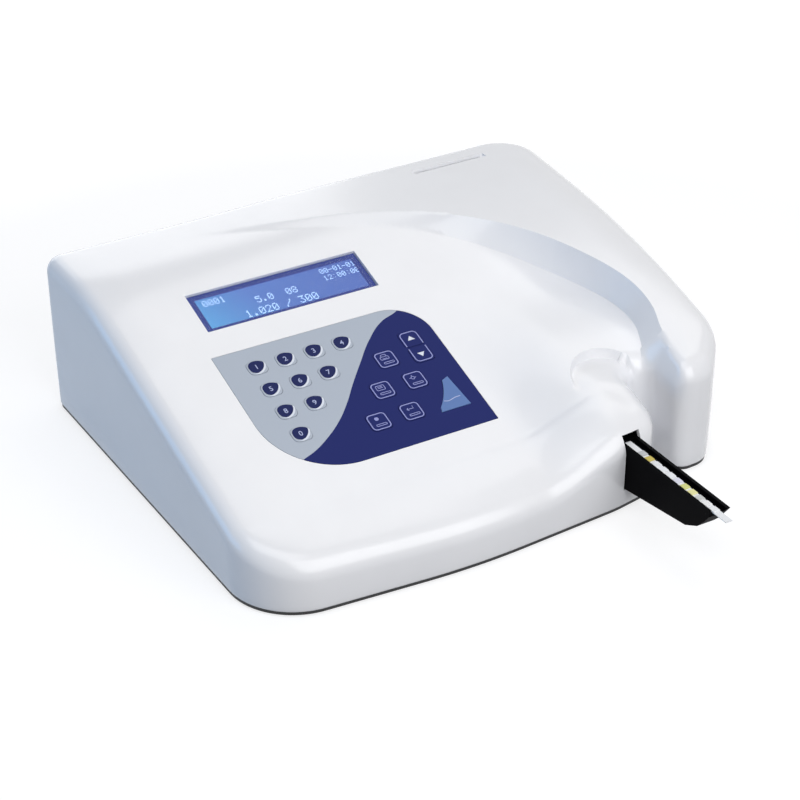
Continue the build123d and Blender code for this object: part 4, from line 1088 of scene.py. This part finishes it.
window_clear = Finish("clear_window", rgb(150, 185, 230), 0.06, Alpha=0.05)
smear = window_clear.noise(14.0)
window_clear.set("Roughness", smear * 0.06 + 0.04)
wear_of("display_window", window_clear.material)
lens_glass = Finish("lens_glass", rgb(36, 44, 60), 0.08, Coat_Weight=0.6)
lens_glass.set("Roughness", lens_glass.noise(60.0) * 0.06 + 0.05)
wear_of("head_lens", lens_glass.material)

# %% [markdown]
# The test strip is a band of white plastic film with eleven reagent pads. Each pad soaks up
# its own chemistry, so each has its own pale colour. A ramp with hard stops along the strip
# gives each pad its colour, and a fine bump makes them look like blotting paper.

# %% Strip and pads
PAD_PITCH = 7.6
PAD_COLOURS = [(236, 238, 240), (240, 240, 240), (206, 208, 205), (233, 229, 166),
               (214, 216, 138), (222, 222, 236), (238, 240, 243), (236, 238, 240),
               (232, 234, 236), (204, 186, 96), (196, 198, 200)]
pads_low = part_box("strip_pads")[0]
pads = Finish("reagent_pads", (0.8, 0.8, 0.8), 0.85)
along = (pads.axis("Y") * (1 / MM) - (pads_low.y / MM - 1.3)) / (PAD_PITCH * len(PAD_COLOURS))
ramp = pads.node("ShaderNodeValToRGB", "Color", Fac=along)
stops = ramp.socket.node.color_ramp
stops.interpolation = "CONSTANT"
for i, colour in enumerate(PAD_COLOURS):
    stop = stops.elements[0] if i == 0 else stops.elements.new(i / len(PAD_COLOURS))
    stop.color = (*rgb(*colour), 1)
stops.elements.remove(stops.elements[-1])
pads.set("Base Color", ramp)
fibres = pads.noise(5000.0, 3.0)
pads.set("Roughness", fibres * 0.2 + 0.75)
pads.bump(fibres, 0.5, 0.0002)
wear_of("strip_pads", pads.material)
wear_of("test_strip", plastic("strip_film", rgb(232, 234, 237), 0.4, 0.05, Coat_Weight=0.2))
print("strip with", len(PAD_COLOURS), "pads")


# %% [markdown]
# The floor is a wide pale sheet that ends far outside the view. Its own colour is plain,
# and rays from the camera also see a little light of its own, so that it comes out white
# while the shadow of the machine stays on it. Farther out this light grows, so the floor
# fades into the white world. The lamps are large and soft, and a cool fill from the left
# tints the left wall as a studio window would.

# %% Floor, lamps and world
FLOOR_SIZE = 14.0
FLOOR_GLOW = 0.72
NEAR_FLOOR = 0.5
GLOW_RISE = 0.6


def seen_only(tree):
    """One for camera, mirror and glass rays, and zero for light that reaches surfaces."""
    path = tree.nodes.new("ShaderNodeLightPath")
    camera_ray = Socket(tree, path.outputs["Is Camera Ray"])
    glossy_ray = Socket(tree, path.outputs["Is Glossy Ray"])
    through_ray = Socket(tree, path.outputs["Is Transmission Ray"])
    return camera_ray.maths("MAXIMUM", glossy_ray).maths("MAXIMUM", through_ray)


floor_finish = Finish("pale_floor", (0.36, 0.365, 0.38), 0.9)
floor_finish.set("Specular IOR Level", 0.0)
far = floor_finish.node("ShaderNodeVectorMath", "Value", {"operation": "LENGTH"},
                        i0=floor_finish.place())
rise = (far - NEAR_FLOOR).maths("MAXIMUM", 0.0) * GLOW_RISE + FLOOR_GLOW
glow = floor_finish.node("ShaderNodeEmission", 0, Color=(1, 1, 1, 1),
                         Strength=seen_only(floor_finish.tree) * rise.maths("MINIMUM", 1.0))
both = floor_finish.node("ShaderNodeAddShader", 0,
                         i0=Socket(floor_finish.tree, floor_finish.surface.outputs[0]), i1=glow)
floor_finish.tree.links.new(both.socket,
                            floor_finish.tree.nodes["Material Output"].inputs["Surface"])

mesh = bmesh.new()
bmesh.ops.create_grid(mesh, x_segments=1, y_segments=1, size=FLOOR_SIZE / 2)
data = bpy.data.meshes.new("floor")
mesh.to_mesh(data)
mesh.free()
data.materials.append(floor_finish.material)
floor = bpy.data.objects.new("floor", data)
bpy.context.collection.objects.link(floor)
floor.location.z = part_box("rubber_feet")[0].z

world = bpy.context.scene.world or bpy.data.worlds.new("world")
bpy.context.scene.world = world
world.use_nodes = True
world_tree = world.node_tree
AMBIENT = 0.08
seen = seen_only(world_tree)
background = world_tree.nodes["Background"]
background.inputs["Color"].default_value = (1, 1, 1, 1)
wire(world_tree, background.inputs["Strength"], seen * (1 - AMBIENT) + AMBIENT)


def lamp(name, place, aim, size, power, color=(1, 1, 1)):
    """A large square lamp that looks at a point, all in millimetres from home."""
    data = bpy.data.lights.new(name, "AREA")
    data.shape = "RECTANGLE"
    data.size, data.size_y = size
    data.energy = power
    data.color = color
    made = bpy.data.objects.new(name, data)
    bpy.context.collection.objects.link(made)
    start, target = home(*place), home(*aim)
    made.matrix_world = (Matrix.Translation(start)
                         @ (target - start).to_track_quat("-Z", "Y").to_matrix().to_4x4())
    return made


MIDDLE = (200, -160, 80)
lamp("key_lamp", (900, 300, 1500), MIDDLE, (1.2, 1.2), 7.6, (1.0, 0.99, 0.98))
lamp("top_lamp", (-350, -800, 1500), MIDDLE, (1.4, 1.0), 9.2)
lamp("left_fill", (-1400, 500, 400), MIDDLE, (1.2, 0.7), 6.0, (0.08, 0.47, 1.0))
lamp("rear_lamp", (300, 1500, 700), MIDDLE, (1.4, 1.0), 7.0)
lamp("front_lamp", (350, -1600, 850), MIDDLE, (1.4, 1.0), 15.0)
